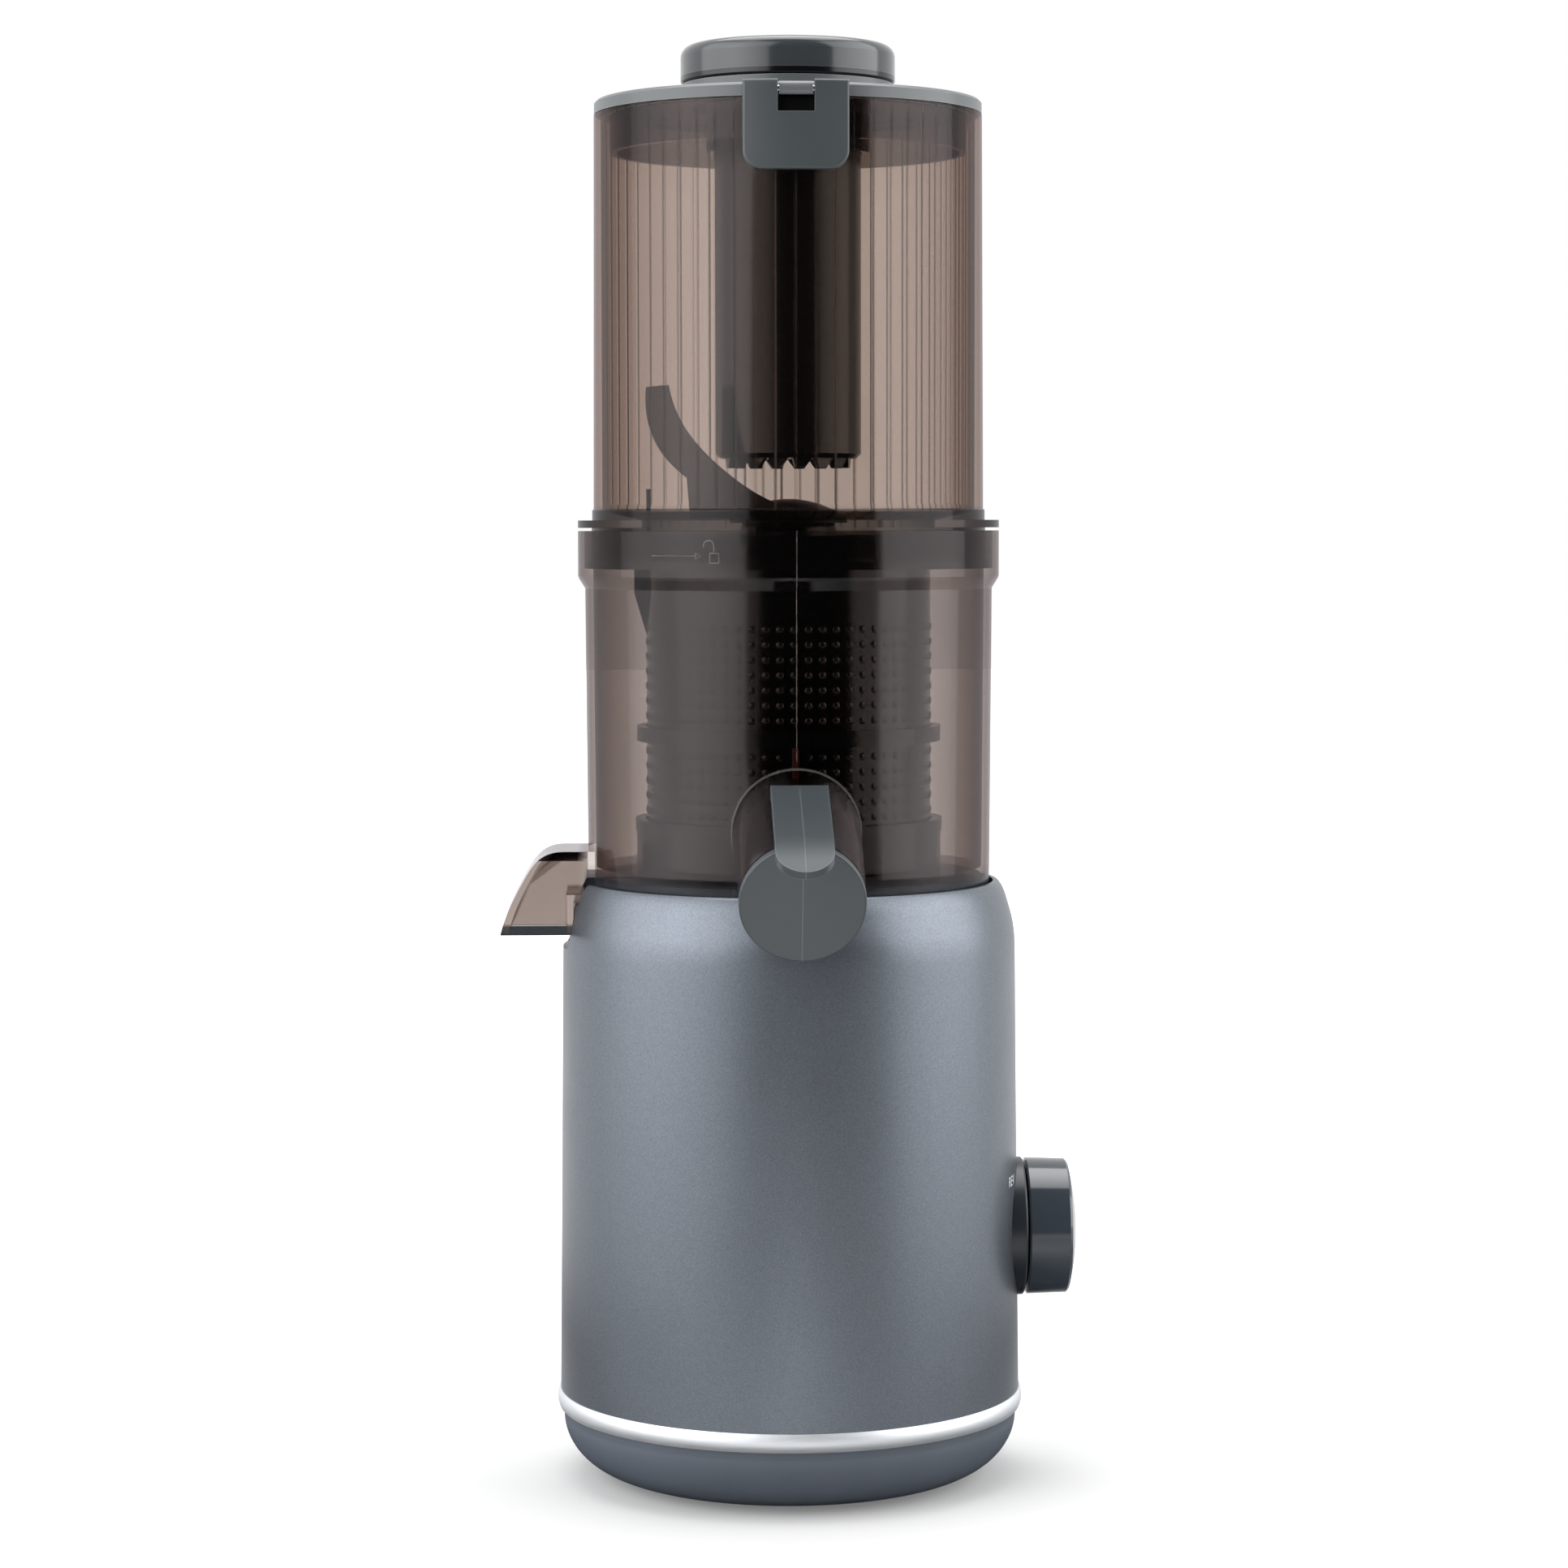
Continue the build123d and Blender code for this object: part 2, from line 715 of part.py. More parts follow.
knob_back = bezel_face + knob_gap
knob_rim = knob_back + knob_depth
knob_face = knob_rim + knob_dome
spindle_end = knob_back + spindle_grip + knob_wall
with BuildPart() as selector_knob:
    with BuildSketch(Plane.XY.offset(knob_height)):
        with BuildLine():
            face_curve = ThreePointArc(
                (knob_face, 0),
                (knob_face - knob_dome / 4, knob_rim_radius / 2),
                (knob_rim, knob_rim_radius - 0.8),
            )
            Polyline(
                face_curve @ 1,
                (knob_rim - 0.8, knob_rim_radius),
                (knob_back + 0.5, knob_radius),
                (knob_back, knob_radius - 0.5),
                (knob_back, knob_radius - knob_wall),
                (knob_rim - knob_wall, knob_rim_radius - knob_wall),
                (knob_rim - knob_wall, knob_hub_radius),
                (knob_back, knob_hub_radius),
                (knob_back, spindle_radius),
                (spindle_end, spindle_radius),
                (spindle_end, 0),
                face_curve @ 0,
            )
        make_face()
    revolve(axis=Axis((0, 0, knob_height), (1, 0, 0)))
selector_knob.part.label = "selector_knob"
export_step(selector_knob.part, "parts/selector_knob.step")

switch_front = sqrt((body_shoulder_radius - base_wall) ** 2 - (switch_width / 2) ** 2) - seat_gap
switch_back = switch_front - switch_depth
wall_at_knob = body_bottom_radius - (body_bottom_radius - body_shoulder_radius) * (
    knob_height - body_base
) / (shoulder_base - body_base)
with BuildPart() as rotary_switch:
    with BuildSketch(Plane.YZ.offset(switch_back)):
        with Locations((0, knob_height)):
            Rectangle(switch_width, switch_width)
    extrude(amount=switch_depth)
    with BuildSketch(Plane.YZ.offset(switch_front)):
        with Locations((0, knob_height)):
            Circle(switch_bush_radius)
    extrude(amount=bezel_face - 1 - switch_front)
    # Solder tags
    with BuildSketch(Plane.YZ.offset(switch_back)):
        with Locations((0, knob_height)):
            with GridLocations(switch_width / 3, switch_width / 2, 3, 2):
                Rectangle(3, 0.8)
    extrude(amount=-5)
    with BuildSketch(Plane.YZ.offset(switch_back + base_wall)):
        with Locations((0, knob_height)):
            Circle(spindle_radius + run_gap)
    extrude(amount=bezel_face - switch_back, mode=Mode.SUBTRACT)
rotary_switch.part.label = "rotary_switch"
export_step(rotary_switch.part, "parts/rotary_switch.step")

with BuildPart() as switch_nut:
    with BuildSketch(Plane.YZ.offset(wall_at_knob + 0.1)):
        with Locations((0, knob_height)):
            RegularPolygon(nut_across_flats / 2, 6, major_radius=False)
            Circle(switch_bush_radius, mode=Mode.SUBTRACT)
    extrude(amount=bezel_face - 0.6 - wall_at_knob - 0.1)
switch_nut.part.label = "switch_nut"
export_step(switch_nut.part, "parts/switch_nut.step")

with BuildPart() as switch_spindle:
    with BuildSketch(Plane.YZ.offset(switch_back + base_wall + seat_gap)):
        with Locations((0, knob_height)):
            Circle(spindle_radius)
    extrude(amount=spindle_end - switch_back - base_wall - seat_gap)
switch_spindle.part.label = "switch_spindle"
export_step(switch_spindle.part, "parts/switch_spindle.step")

# Cord inlet
gland_wall = body_bottom_radius - (body_bottom_radius - body_shoulder_radius) * (
    gland_height - body_base
) / (shoulder_base - body_base)
with BuildPart() as cord_gland:
    with BuildSketch(Plane.XY.offset(gland_height)):
        with BuildLine():
            Polyline(
                (gland_bore_radius, gland_wall - 3 * base_wall),
                (gland_flange_radius, gland_wall - 3 * base_wall),
                (gland_flange_radius, gland_wall - base_wall - 0.8),
                (gland_radius, gland_wall - base_wall - 0.8),
                (gland_radius, gland_wall + seat_gap),
                (gland_flange_radius, gland_wall + seat_gap),
                (gland_flange_radius - 1, gland_wall + seat_gap + gland_flange),
                (gland_radius, gland_wall + seat_gap + gland_flange),
                (gland_radius - 1, gland_wall + gland_flange + gland_nose),
                (gland_bore_radius, gland_wall + gland_flange + gland_nose),
                close=True,
            )
        make_face()
    revolve(axis=Axis((0, 0, gland_height), (0, 1, 0)))
cord_gland.part.label = "cord_gland"
export_step(cord_gland.part, "parts/cord_gland.step")

# Electronics
board_middle = board_bottom + board_height / 2
with BuildPart() as control_board:
    with BuildSketch(Plane.XZ.offset(-board_place)):
        with Locations((0, board_middle)):
            Rectangle(board_width, board_height)
            with GridLocations(2 * board_post_x, board_height - 2 * board_screw_inset, 2, 2):
                Circle(board_screw_radius, mode=Mode.SUBTRACT)
    extrude(amount=-board_thickness)
control_board.part.label = "control_board"
export_step(control_board.part, "parts/control_board.step")

with BuildPart() as board_components:
    # Relay, terminal block and driver on the board's inner face, then a capacitor
    for x, z, width, height, depth in ((-8, 10, 16, 12, 9), (10, 12, 16, 8, 8), (-14, -9, 9, 9, 3)):
        with BuildSketch(Plane.XZ.offset(-board_place)):
            with Locations((x, board_middle + z)):
                Rectangle(width, height)
        extrude(amount=depth)
    with BuildSketch(Plane.XZ.offset(-board_place)):
        with Locations((8, board_middle - 8)):
            Circle(6)
    extrude(amount=10)
board_components.part.label = "board_components"
export_step(board_components.part, "parts/board_components.step")

with BuildPart() as board_screws:
    with BuildSketch(Plane.XZ.offset(-board_place)):
        with Locations((0, board_middle)):
            with GridLocations(2 * board_post_x, board_height - 2 * board_screw_inset, 2, 2):
                Circle(board_screw_radius)
    extrude(amount=-board_screw_length)
    with BuildSketch(Plane.XZ.offset(-board_place)):
        with Locations((0, board_middle)):
            with GridLocations(2 * board_post_x, board_height - 2 * board_screw_inset, 2, 2):
                Circle(2 * board_screw_radius)
    extrude(amount=1.6)
board_screws.part.label = "board_screws"
export_step(board_screws.part, "parts/board_screws.step")

magnet_place = on_circle(bowl_foot_radius - magnet_inset, magnet_angle)
with BuildPart() as interlock_switch:
    with BuildSketch(Plane.XY.offset(deck_under - switch_pad_height)):
        with Locations(magnet_place):
            Rectangle(2 * switch_pad_height, switch_pad_height)
    extrude(amount=switch_pad_height)
interlock_switch.part.label = "interlock_switch"
export_step(interlock_switch.part, "parts/interlock_switch.step")

# Gearbox
first_pin = on_circle(centre_distance, first_pin_angle)
second_pin = on_circle(centre_distance, second_pin_angle)
pin_places = [first_pin, second_pin]
with BuildPart() as gearbox_housing:
    with BuildSketch(Plane.XY.offset(gearbox_base)):
        Circle(gearbox_inner_radius + gearbox_wall)
        with PolarLocations(gearbox_screw_circle, 4):
            Circle(gearbox_lug_radius)
        with PolarLocations(gearbox_screw_circle - gearbox_lug_radius, 4):
            Rectangle(2 * gearbox_lug_radius, 2 * gearbox_lug_radius)
    extrude(amount=gearbox_cover_base - gearbox_base)
    with BuildSketch(Plane.XY.offset(gearbox_inside)):
        Circle(gearbox_inner_radius)
    extrude(amount=gearbox_cover_base - gearbox_inside, mode=Mode.SUBTRACT)
    with BuildSketch(Plane.XY.offset(gearbox_base)):
        Circle(motor_bush_radius + 1)
        with PolarLocations(gearbox_screw_circle, 4):
            Circle(gearbox_screw_radius)
    extrude(amount=gearbox_cover_base - gearbox_base, mode=Mode.SUBTRACT)
    with BuildSketch(Plane.XY.offset(gearbox_base)):
        with Locations(*pin_places):
            Circle(pin_radius)
        with PolarLocations(motor_radius * 0.6, 4, start_angle=45):
            Circle(case_screw_radius)
    extrude(amount=gearbox_floor, mode=Mode.SUBTRACT)
gearbox_housing.part.label = "gearbox_housing"
export_step(gearbox_housing.part, "parts/gearbox_housing.step")

with BuildPart() as gearbox_cover:
    with BuildSketch(Plane.XY.offset(gearbox_cover_base)):
        Circle(gearbox_inner_radius + gearbox_wall)
        with PolarLocations(gearbox_screw_circle, 4):
            Circle(gearbox_lug_radius)
        with PolarLocations(gearbox_screw_circle - gearbox_lug_radius, 4):
            Rectangle(2 * gearbox_lug_radius, 2 * gearbox_lug_radius)
        Circle(shaft_radius + bush_wall, mode=Mode.SUBTRACT)
        with PolarLocations(gearbox_screw_circle, 4):
            Circle(gearbox_screw_radius, mode=Mode.SUBTRACT)
    extrude(amount=gearbox_cover_thickness)
    with BuildSketch(Plane.XY.offset(gearbox_cover_base)):
        with Locations(*pin_places):
            Circle(pin_radius)
    extrude(amount=gearbox_cover_thickness / 2, mode=Mode.SUBTRACT)
gearbox_cover.part.label = "gearbox_cover"
export_step(gearbox_cover.part, "parts/gearbox_cover.step")

screw_group(
    "gearbox_screws",
    gearbox_screw_places,
    gearbox_base - case_screw_head_height,
    case_screw_head_radius,
    case_screw_head_height,
    gearbox_screw_radius,
    gearbox_top - gearbox_base + case_screw_head_height + gearbox_mount_drop - 2,
)

with BuildPart() as gear_pins:
    with Locations(*[(x, y, gearbox_base) for x, y in pin_places]):
        Cylinder(
            pin_radius,
            gearbox_cover_base + gearbox_cover_thickness / 2 - gearbox_base,
            align=(Align.CENTER, Align.CENTER, Align.MIN),
        )
gear_pins.part.label = "gear_pins"
export_step(gear_pins.part, "parts/gear_pins.step")

first_line = first_pin_angle
second_line = degrees(atan2(second_pin[1] - first_pin[1], second_pin[0] - first_pin[0]))
third_line = second_pin_angle + 180


# Compound gear on a pin: a wide wheel below, a pinion above and a hub all along
def compound_gear(name, place, wheel, pinion, hub_top_level):
    with BuildPart() as gear:
        with BuildSketch(Plane.XY.offset(gearbox_inside + seat_gap)):
            with Locations(place):
                Circle(gear_hub_radius)
        extrude(amount=hub_top_level - gearbox_inside - seat_gap)
        for teeth, module, level, face, turn in (wheel, pinion):
            extrude(gear_outline(teeth, module, level, place, turn), amount=face)
        with BuildSketch(Plane.XY.offset(gearbox_inside)):
            with Locations(place):
                Circle(pin_radius + run_gap)
        extrude(amount=gearbox_cover_base - gearbox_inside, mode=Mode.SUBTRACT)
    gear.part.label = name
    export_step(gear.part, "parts/" + name + ".step")


compound_gear(
    "first_gear",
    first_pin,
    (first_wheel_teeth, fine_module, first_base, fine_face, first_line + 180 + 180 / first_wheel_teeth),
    (first_pinion_teeth, fine_module, second_base, fine_face, second_line),
    gearbox_cover_base - seat_gap,
)
compound_gear(
    "second_gear",
    second_pin,
    (
        second_wheel_teeth,
        fine_module,
        second_base,
        fine_face,
        second_line + 180 + 180 / second_wheel_teeth,
    ),
    (second_pinion_teeth, coarse_module, output_base, coarse_face, third_line),
    gearbox_cover_base - seat_gap,
)

with BuildPart() as output_gear:
    extrude(
        gear_outline(
            output_teeth,
            coarse_module,
            output_base,
            turn=third_line + 180 + 180 / output_teeth,
        ),
        amount=coarse_face,
    )
    with BuildSketch(Plane.XY.offset(output_base)):
        Circle(shaft_radius)
    extrude(amount=coarse_face, mode=Mode.SUBTRACT)
output_gear.part.label = "output_gear"
export_step(output_gear.part, "parts/output_gear.step")

with BuildPart() as drive_shaft:
    with BuildSketch(Plane.XY.offset(output_base - 1.2)):
        Circle(shaft_radius)
    extrude(amount=hub_top + 0.5 - output_base + 1.2)
    with BuildSketch(Plane.XY.offset(hub_top + 0.5)):
        RegularPolygon(hex_across_flats / 2, 6, major_radius=False)
    extrude(amount=drive_top - hub_top - 0.5)
    chamfer(drive_shaft.faces().sort_by(Axis.Z)[-1].edges(), 0.8)
    # Groove for the retaining clip, under the gear
    with BuildSketch(Plane.XY.offset(output_base - 0.8)):
        Circle(shaft_radius)
        Circle(shaft_radius - 1, mode=Mode.SUBTRACT)
    extrude(amount=0.8, mode=Mode.SUBTRACT)
drive_shaft.part.label = "drive_shaft"
export_step(drive_shaft.part, "parts/drive_shaft.step")

with BuildPart() as shaft_clip:
    with BuildSketch(Plane.XY.offset(output_base - 0.8)):
        Circle(shaft_radius + 2.5)
        Circle(shaft_radius - 1, mode=Mode.SUBTRACT)
        with Locations((0, -shaft_radius)):
            Rectangle(shaft_radius, 2 * shaft_radius, mode=Mode.SUBTRACT)
    extrude(amount=0.8)
shaft_clip.part.label = "shaft_clip"
export_step(shaft_clip.part, "parts/shaft_clip.step")

with BuildPart() as shaft_bushes:
    for low, high in (
        (gearbox_cover_base, gearbox_cover_base + gearbox_cover_thickness),
        (hub_under, hub_top - seal_height - seat_gap),
    ):
        revolve(ring_outline(shaft_radius + run_gap, shaft_radius + bush_wall, low, high), axis=Axis.Z)
shaft_bushes.part.label = "shaft_bushes"
export_step(shaft_bushes.part, "parts/shaft_bushes.step")

with BuildPart() as shaft_seal:
    revolve(
        ring_outline(shaft_radius + run_gap, shaft_radius + bush_wall, hub_top - seal_height, hub_top),
        axis=Axis.Z,
    )
shaft_seal.part.label = "shaft_seal"
export_step(shaft_seal.part, "parts/shaft_seal.step")

# Motor
with BuildPart() as motor_can:
    with BuildSketch(Plane.XY.offset(motor_base)):
        Circle(motor_radius)
        Circle(motor_radius - motor_wall, mode=Mode.SUBTRACT)
    extrude(amount=motor_height)
    with BuildSketch(Plane.XY.offset(gearbox_base - motor_wall)):
        Circle(motor_radius - motor_wall / 2)
    extrude(amount=motor_wall)
    with BuildSketch(Plane.XY.offset(gearbox_base - 2 * motor_wall - 2)):
        Circle(motor_bush_radius + motor_wall)
    extrude(amount=motor_wall + 2)
    with BuildSketch(Plane.XY.offset(gearbox_base - 2 * motor_wall - 2)):
        Circle(motor_bush_radius)
        with PolarLocations(motor_radius * 0.6, 4, start_angle=45):
            Circle(case_screw_radius)
    extrude(amount=2 * motor_wall + 2, mode=Mode.SUBTRACT)
motor_can.part.label = "motor_can"
export_step(motor_can.part, "parts/motor_can.step")

with BuildPart() as motor_end_cap:
    with BuildSketch(Plane.XY.offset(motor_cap_base)):
        Circle(motor_radius)
        Circle(motor_bush_radius, mode=Mode.SUBTRACT)
        with PolarLocations((motor_radius + winding_radius) / 2 - 4, 8):
            Circle(3, mode=Mode.SUBTRACT)
    extrude(amount=motor_cap_thickness)
motor_end_cap.part.label = "motor_end_cap"
export_step(motor_end_cap.part, "parts/motor_end_cap.step")

bush_top_base = gearbox_base - 2 * motor_wall - 2
with BuildPart() as motor_bushes:
    for low, high in ((motor_cap_base, motor_base), (bush_top_base, gearbox_base)):
        revolve(ring_outline(motor_shaft_radius + run_gap, motor_bush_radius, low, high), axis=Axis.Z)
motor_bushes.part.label = "motor_bushes"
export_step(motor_bushes.part, "parts/motor_bushes.step")

screw_group(
    "motor_screws",
    [on_circle(motor_radius * 0.6, angle) for angle in (45, 135, 225, 315)],
    gearbox_base - motor_wall - 2,
    3.4,
    2.0,
    case_screw_radius,
    motor_wall + 2 + gearbox_floor,
)

magnet_radius = motor_radius - motor_wall
core_radius = magnet_radius - magnet_thickness - air_gap
commutator_base = motor_base + 1.0
core_base = commutator_base + commutator_height + 1.0 + winding_height
with BuildPart() as motor_magnets:
    for middle in (90, 270):
        with BuildSketch(Plane.XY.offset(core_base - 3)):
            with BuildLine():
                start = middle - magnet_arc / 2
                outer = CenterArc((0, 0), magnet_radius, start, magnet_arc)
                inner = CenterArc((0, 0), magnet_radius - magnet_thickness, start, magnet_arc)
                Line(outer @ 0, inner @ 0)
                Line(outer @ 1, inner @ 1)
            make_face()
        extrude(amount=magnet_height)
motor_magnets.part.label = "motor_magnets"
export_step(motor_magnets.part, "parts/motor_magnets.step")

with BuildPart() as motor_brushes:
    with BuildSketch(Plane.XY.offset(motor_base)):
        with Locations(
            ((magnet_radius + commutator_radius + seat_gap) / 2, 0),
            (-(magnet_radius + commutator_radius + seat_gap) / 2, 0),
        ):
            Rectangle(magnet_radius - commutator_radius - 4 * seat_gap, brush_width)
    extrude(amount=brush_height + 1)
motor_brushes.part.label = "motor_brushes"
export_step(motor_brushes.part, "parts/motor_brushes.step")

with BuildPart() as rotor_shaft:
    with BuildSketch(Plane.XY.offset(fan_base)):
        Circle(motor_shaft_radius)
    extrude(amount=first_base + fine_face - fan_base)
rotor_shaft.part.label = "rotor_shaft"
export_step(rotor_shaft.part, "parts/rotor_shaft.step")

with BuildPart() as rotor_core:
    with BuildSketch(Plane.XY.offset(core_base)):
        Circle(core_radius)
        Circle(motor_shaft_radius, mode=Mode.SUBTRACT)
        with PolarLocations(core_radius - 3, core_slots):
            SlotOverall(8, 3.4, mode=Mode.SUBTRACT)
    extrude(amount=core_height)
rotor_core.part.label = "rotor_core"
export_step(rotor_core.part, "parts/rotor_core.step")

with BuildPart() as rotor_windings:
    for low in (core_base - winding_height, core_base + core_height):
        revolve(
            ring_outline(motor_bush_radius + 3, winding_radius, low, low + winding_height), axis=Axis.Z
        )
rotor_windings.part.label = "rotor_windings"
export_step(rotor_windings.part, "parts/rotor_windings.step")

with BuildPart() as commutator:
    revolve(
        ring_outline(
            motor_shaft_radius,
            commutator_radius,
            commutator_base,
            commutator_base + commutator_height,
        ),
        axis=Axis.Z,
    )
commutator.part.label = "commutator"
export_step(commutator.part, "parts/commutator.step")

with BuildPart() as motor_pinion:
    extrude(
        gear_outline(motor_pinion_teeth, fine_module, first_base, turn=first_line), amount=fine_face
    )
    with BuildSketch(Plane.XY.offset(first_base)):
        Circle(motor_shaft_radius)
    extrude(amount=fine_face, mode=Mode.SUBTRACT)
motor_pinion.part.label = "motor_pinion"
export_step(motor_pinion.part, "parts/motor_pinion.step")

with BuildPart() as cooling_fan:
    with BuildSketch(Plane.XY.offset(fan_base)):
        Circle(fan_radius)
    extrude(amount=fan_plate)
    with BuildSketch(Plane.XY.offset(fan_base)):
        Circle(fan_hub_radius)
        with PolarLocations((fan_hub_radius + fan_radius) / 2 - 0.5, fan_blades):
            Rectangle(fan_radius - fan_hub_radius, fan_plate, rotation=18)
    extrude(amount=fan_height)
    with BuildSketch(Plane.XY.offset(fan_base)):
        Circle(motor_shaft_radius)
    extrude(amount=fan_height, mode=Mode.SUBTRACT)
cooling_fan.part.label = "cooling_fan"
export_step(cooling_fan.part, "parts/cooling_fan.step")

# Juicing bowl
# Flat ring sector between two radii, about the main axis
def sector_outline(inner, outer, middle, arc, level):
    with BuildSketch(Plane.XY.offset(level)) as outline:
        with BuildLine():
            near = CenterArc((0, 0), inner, middle - arc / 2, arc)
            far = CenterArc((0, 0), outer, middle - arc / 2, arc)
            Line(near @ 0, far @ 0)
            Line(near @ 1, far @ 1)
        make_face()
    return outline.sketch


spout_side = Plane(origin=spout_start, x_dir=spout_dir, z_dir=(-1, 0, 0))
spout_tip = spout_length + cap_gap
strap_top = spout_root_radius + strap_lift + strap_thickness - 0.2
hinge_level = strap_top - hinge_radius
chute_top_level = floor_top + chute_top
chute_mouth_level = rim_top - chute_mouth
duct_floor = floor_top - duct_bottom
lug_angles = [angle * 360 / bayonet_lugs + 30 for angle in range(bayonet_lugs)]
bowl_lug_top = collar_top - bayonet_lug_drop
bowl_lug_base = bowl_lug_top - bayonet_lug_height
hopper_lug_top = bowl_lug_base - seat_gap
idler_distance = wiper_module * (sun_teeth + idler_teeth) / 2
idler_place = on_circle(idler_distance, idler_angle)


# Side outline of the pulp chute, a distance inside its outer face
def chute_outline(inset, back, low, shelf):
    with BuildSketch(Plane.XZ) as outline:
        with BuildLine():
            bend = Spline(
                (-chute_bend_start, chute_top_level - inset),
                (
                    -chute_reach + chute_bend_middle + 0.75 * inset,
                    chute_top_level - chute_bend_drop - 0.65 * inset,
                ),
                (-chute_reach + inset, chute_mouth_level),
                tangents=((-1, 0), (-0.25, -1)),
            )
            Polyline(
                bend @ 1,
                (-chute_inside - inset, chute_mouth_level),
                (-chute_inside - inset, low),
                (back, low),
                (back, floor_under),
                (-shelf, floor_under),
                (-shelf, chute_top_level - inset),
                bend @ 0,
            )
        make_face()
    return outline.sketch


with BuildPart() as spout_tube:
    with Locations(spout_plane):
        Cone(
            spout_root_radius,
            spout_end_radius,
            spout_length,
            align=(Align.CENTER, Align.CENTER, Align.MIN),
        )
        Cylinder(
            spout_root_radius, spout_root / 6, align=(Align.CENTER, Align.CENTER, Align.MAX)
        )
    # Lug for the lever's pin, and hollows for its two ears
    with BuildSketch(spout_side):
        with Locations((hinge_place, hinge_level)):
            Circle(hinge_lug_radius)
        with Locations((hinge_place, hinge_level - 2)):
            Rectangle(2 * hinge_lug_radius, 4)
    extrude(amount=hinge_lug_width / 2, both=True)
    with BuildSketch(spout_side):
        with Locations((hinge_place, hinge_level)):
            Circle(hinge_radius + seat_gap)
    ears_inner = hinge_lug_width / 2
    ears_outer = strap_width / 2 + slide_gap
    for side in (1, -1):
        with BuildSketch(spout_side.offset(side * (ears_inner + ears_outer) / 2)):
            with Locations((hinge_place, hinge_level)):
                Circle(hinge_radius + seat_gap)
        extrude(amount=(ears_outer - ears_inner) / 2, both=True, mode=Mode.SUBTRACT)
    with BuildSketch(spout_side):
        with Locations((hinge_place, hinge_level)):
            Circle(hinge_pin_radius + run_gap)
    extrude(amount=hinge_lug_width, both=True, mode=Mode.SUBTRACT)
    # The jar's own wall closes the root
    revolve(
        ring_outline(0, bowl_bottom_radius - bowl_wall / 2, bowl_base, ledge), mode=Mode.SUBTRACT
    )

with BuildPart() as spout_bore:
    with Locations(spout_plane.offset(-spout_root / 8)):
        Cylinder(
            spout_end_radius - spout_wall + 0.8,
            spout_root / 8 + spout_length + 1,
            align=(Align.CENTER, Align.CENTER, Align.MIN),
        )
    revolve(
        ring_outline(0, bowl_bottom_radius + 0.1, bowl_base, floor_top + 0.2), mode=Mode.SUBTRACT
    )

with BuildPart() as chute_shell:
    extrude(
        chute_outline(0, -duct_start, duct_floor, bowl_bottom_radius - bowl_wall - 3),
        amount=chute_width / 2,
        both=True,
    )
    revolve(
        ring_outline(0, bowl_bottom_radius - bowl_wall / 2, floor_under, ledge), mode=Mode.SUBTRACT
    )

with BuildPart() as bowl:
    with BuildSketch(Plane.XZ):
        with BuildLine():
            Polyline(
                (bowl_foot_radius, bowl_base),
                (bowl_bottom_radius, floor_top),
                (bowl_top_radius, collar_base - collar_chamfer),
                (collar_radius - collar_edge / 2, collar_base - collar_edge / 2),
                (collar_radius, collar_base + collar_edge),
                (collar_radius, collar_top),
                (collar_inner_radius, collar_top),
                (collar_inner_radius, ledge),
                (bowl_inner_radius, ledge),
                (bowl_bottom_radius - bowl_wall, floor_top),
                (bowl_seal_radius, floor_top),
                (bowl_seal_radius, floor_under),
                (bowl_foot_radius - bowl_wall, floor_under),
                (bowl_foot_radius - bowl_wall, bowl_base),
                close=True,
            )
        make_face()
    revolve(axis=Axis.Z)
    add(spout_tube.part)
    add(chute_shell.part)
    add(spout_bore.part, mode=Mode.SUBTRACT)
    extrude(
        chute_outline(
            chute_wall, -duct_start - chute_wall, duct_floor + chute_wall, bowl_bottom_radius + 0.4
        ),
        amount=chute_width / 2 - chute_wall,
        both=True,
        mode=Mode.SUBTRACT,
    )
    # Pulp outlet in the floor, above the duct
    with BuildSketch(Plane.XY.offset(floor_under)):
        add(sector_outline(pulp_hole_inner + 1, pulp_hole_outer, 180, pulp_hole_angle, floor_under))
        with Locations(idler_place):
            Circle(idler_pin_radius)
    extrude(amount=bowl_floor_thickness, mode=Mode.SUBTRACT)
    # Bayonet lugs inside the collar
    for angle in lug_angles:
        lug = sector_outline(
            collar_inner_radius - bayonet_lug_depth,
            collar_inner_radius + collar_wall / 2,
            angle,
            bowl_lug_angle,
            bowl_lug_base,
        )
        extrude(lug, amount=bayonet_lug_height)
bowl.part.label = "bowl"
export_step(bowl.part, "parts/bowl.step")

with BuildPart() as bowl_seal:
    revolve(
        ring_outline(
            auger_tube_radius + seal_bore_gap,
            bowl_seal_radius,
            floor_under,
            floor_top + bowl_seal_lip,
        ),
        axis=Axis.Z,
    )
bowl_seal.part.label = "bowl_seal"
export_step(bowl_seal.part, "parts/bowl_seal.step")

with BuildPart() as interlock_magnet:
    with Locations((magnet_place[0], magnet_place[1], floor_under)):
        Cylinder(
            magnet_disc_radius,
            magnet_disc_height,
            align=(Align.CENTER, Align.CENTER, Align.MAX),
        )
interlock_magnet.part.label = "interlock_magnet"
export_step(interlock_magnet.part, "parts/interlock_magnet.step")

with BuildPart() as idler_pin:
    with Locations((idler_place[0], idler_place[1], floor_under)):
        Cylinder(
            idler_pin_radius,
            strainer_base - seat_gap - floor_under,
            align=(Align.CENTER, Align.CENTER, Align.MIN),
        )
idler_pin.part.label = "idler_pin"
export_step(idler_pin.part, "parts/idler_pin.step")

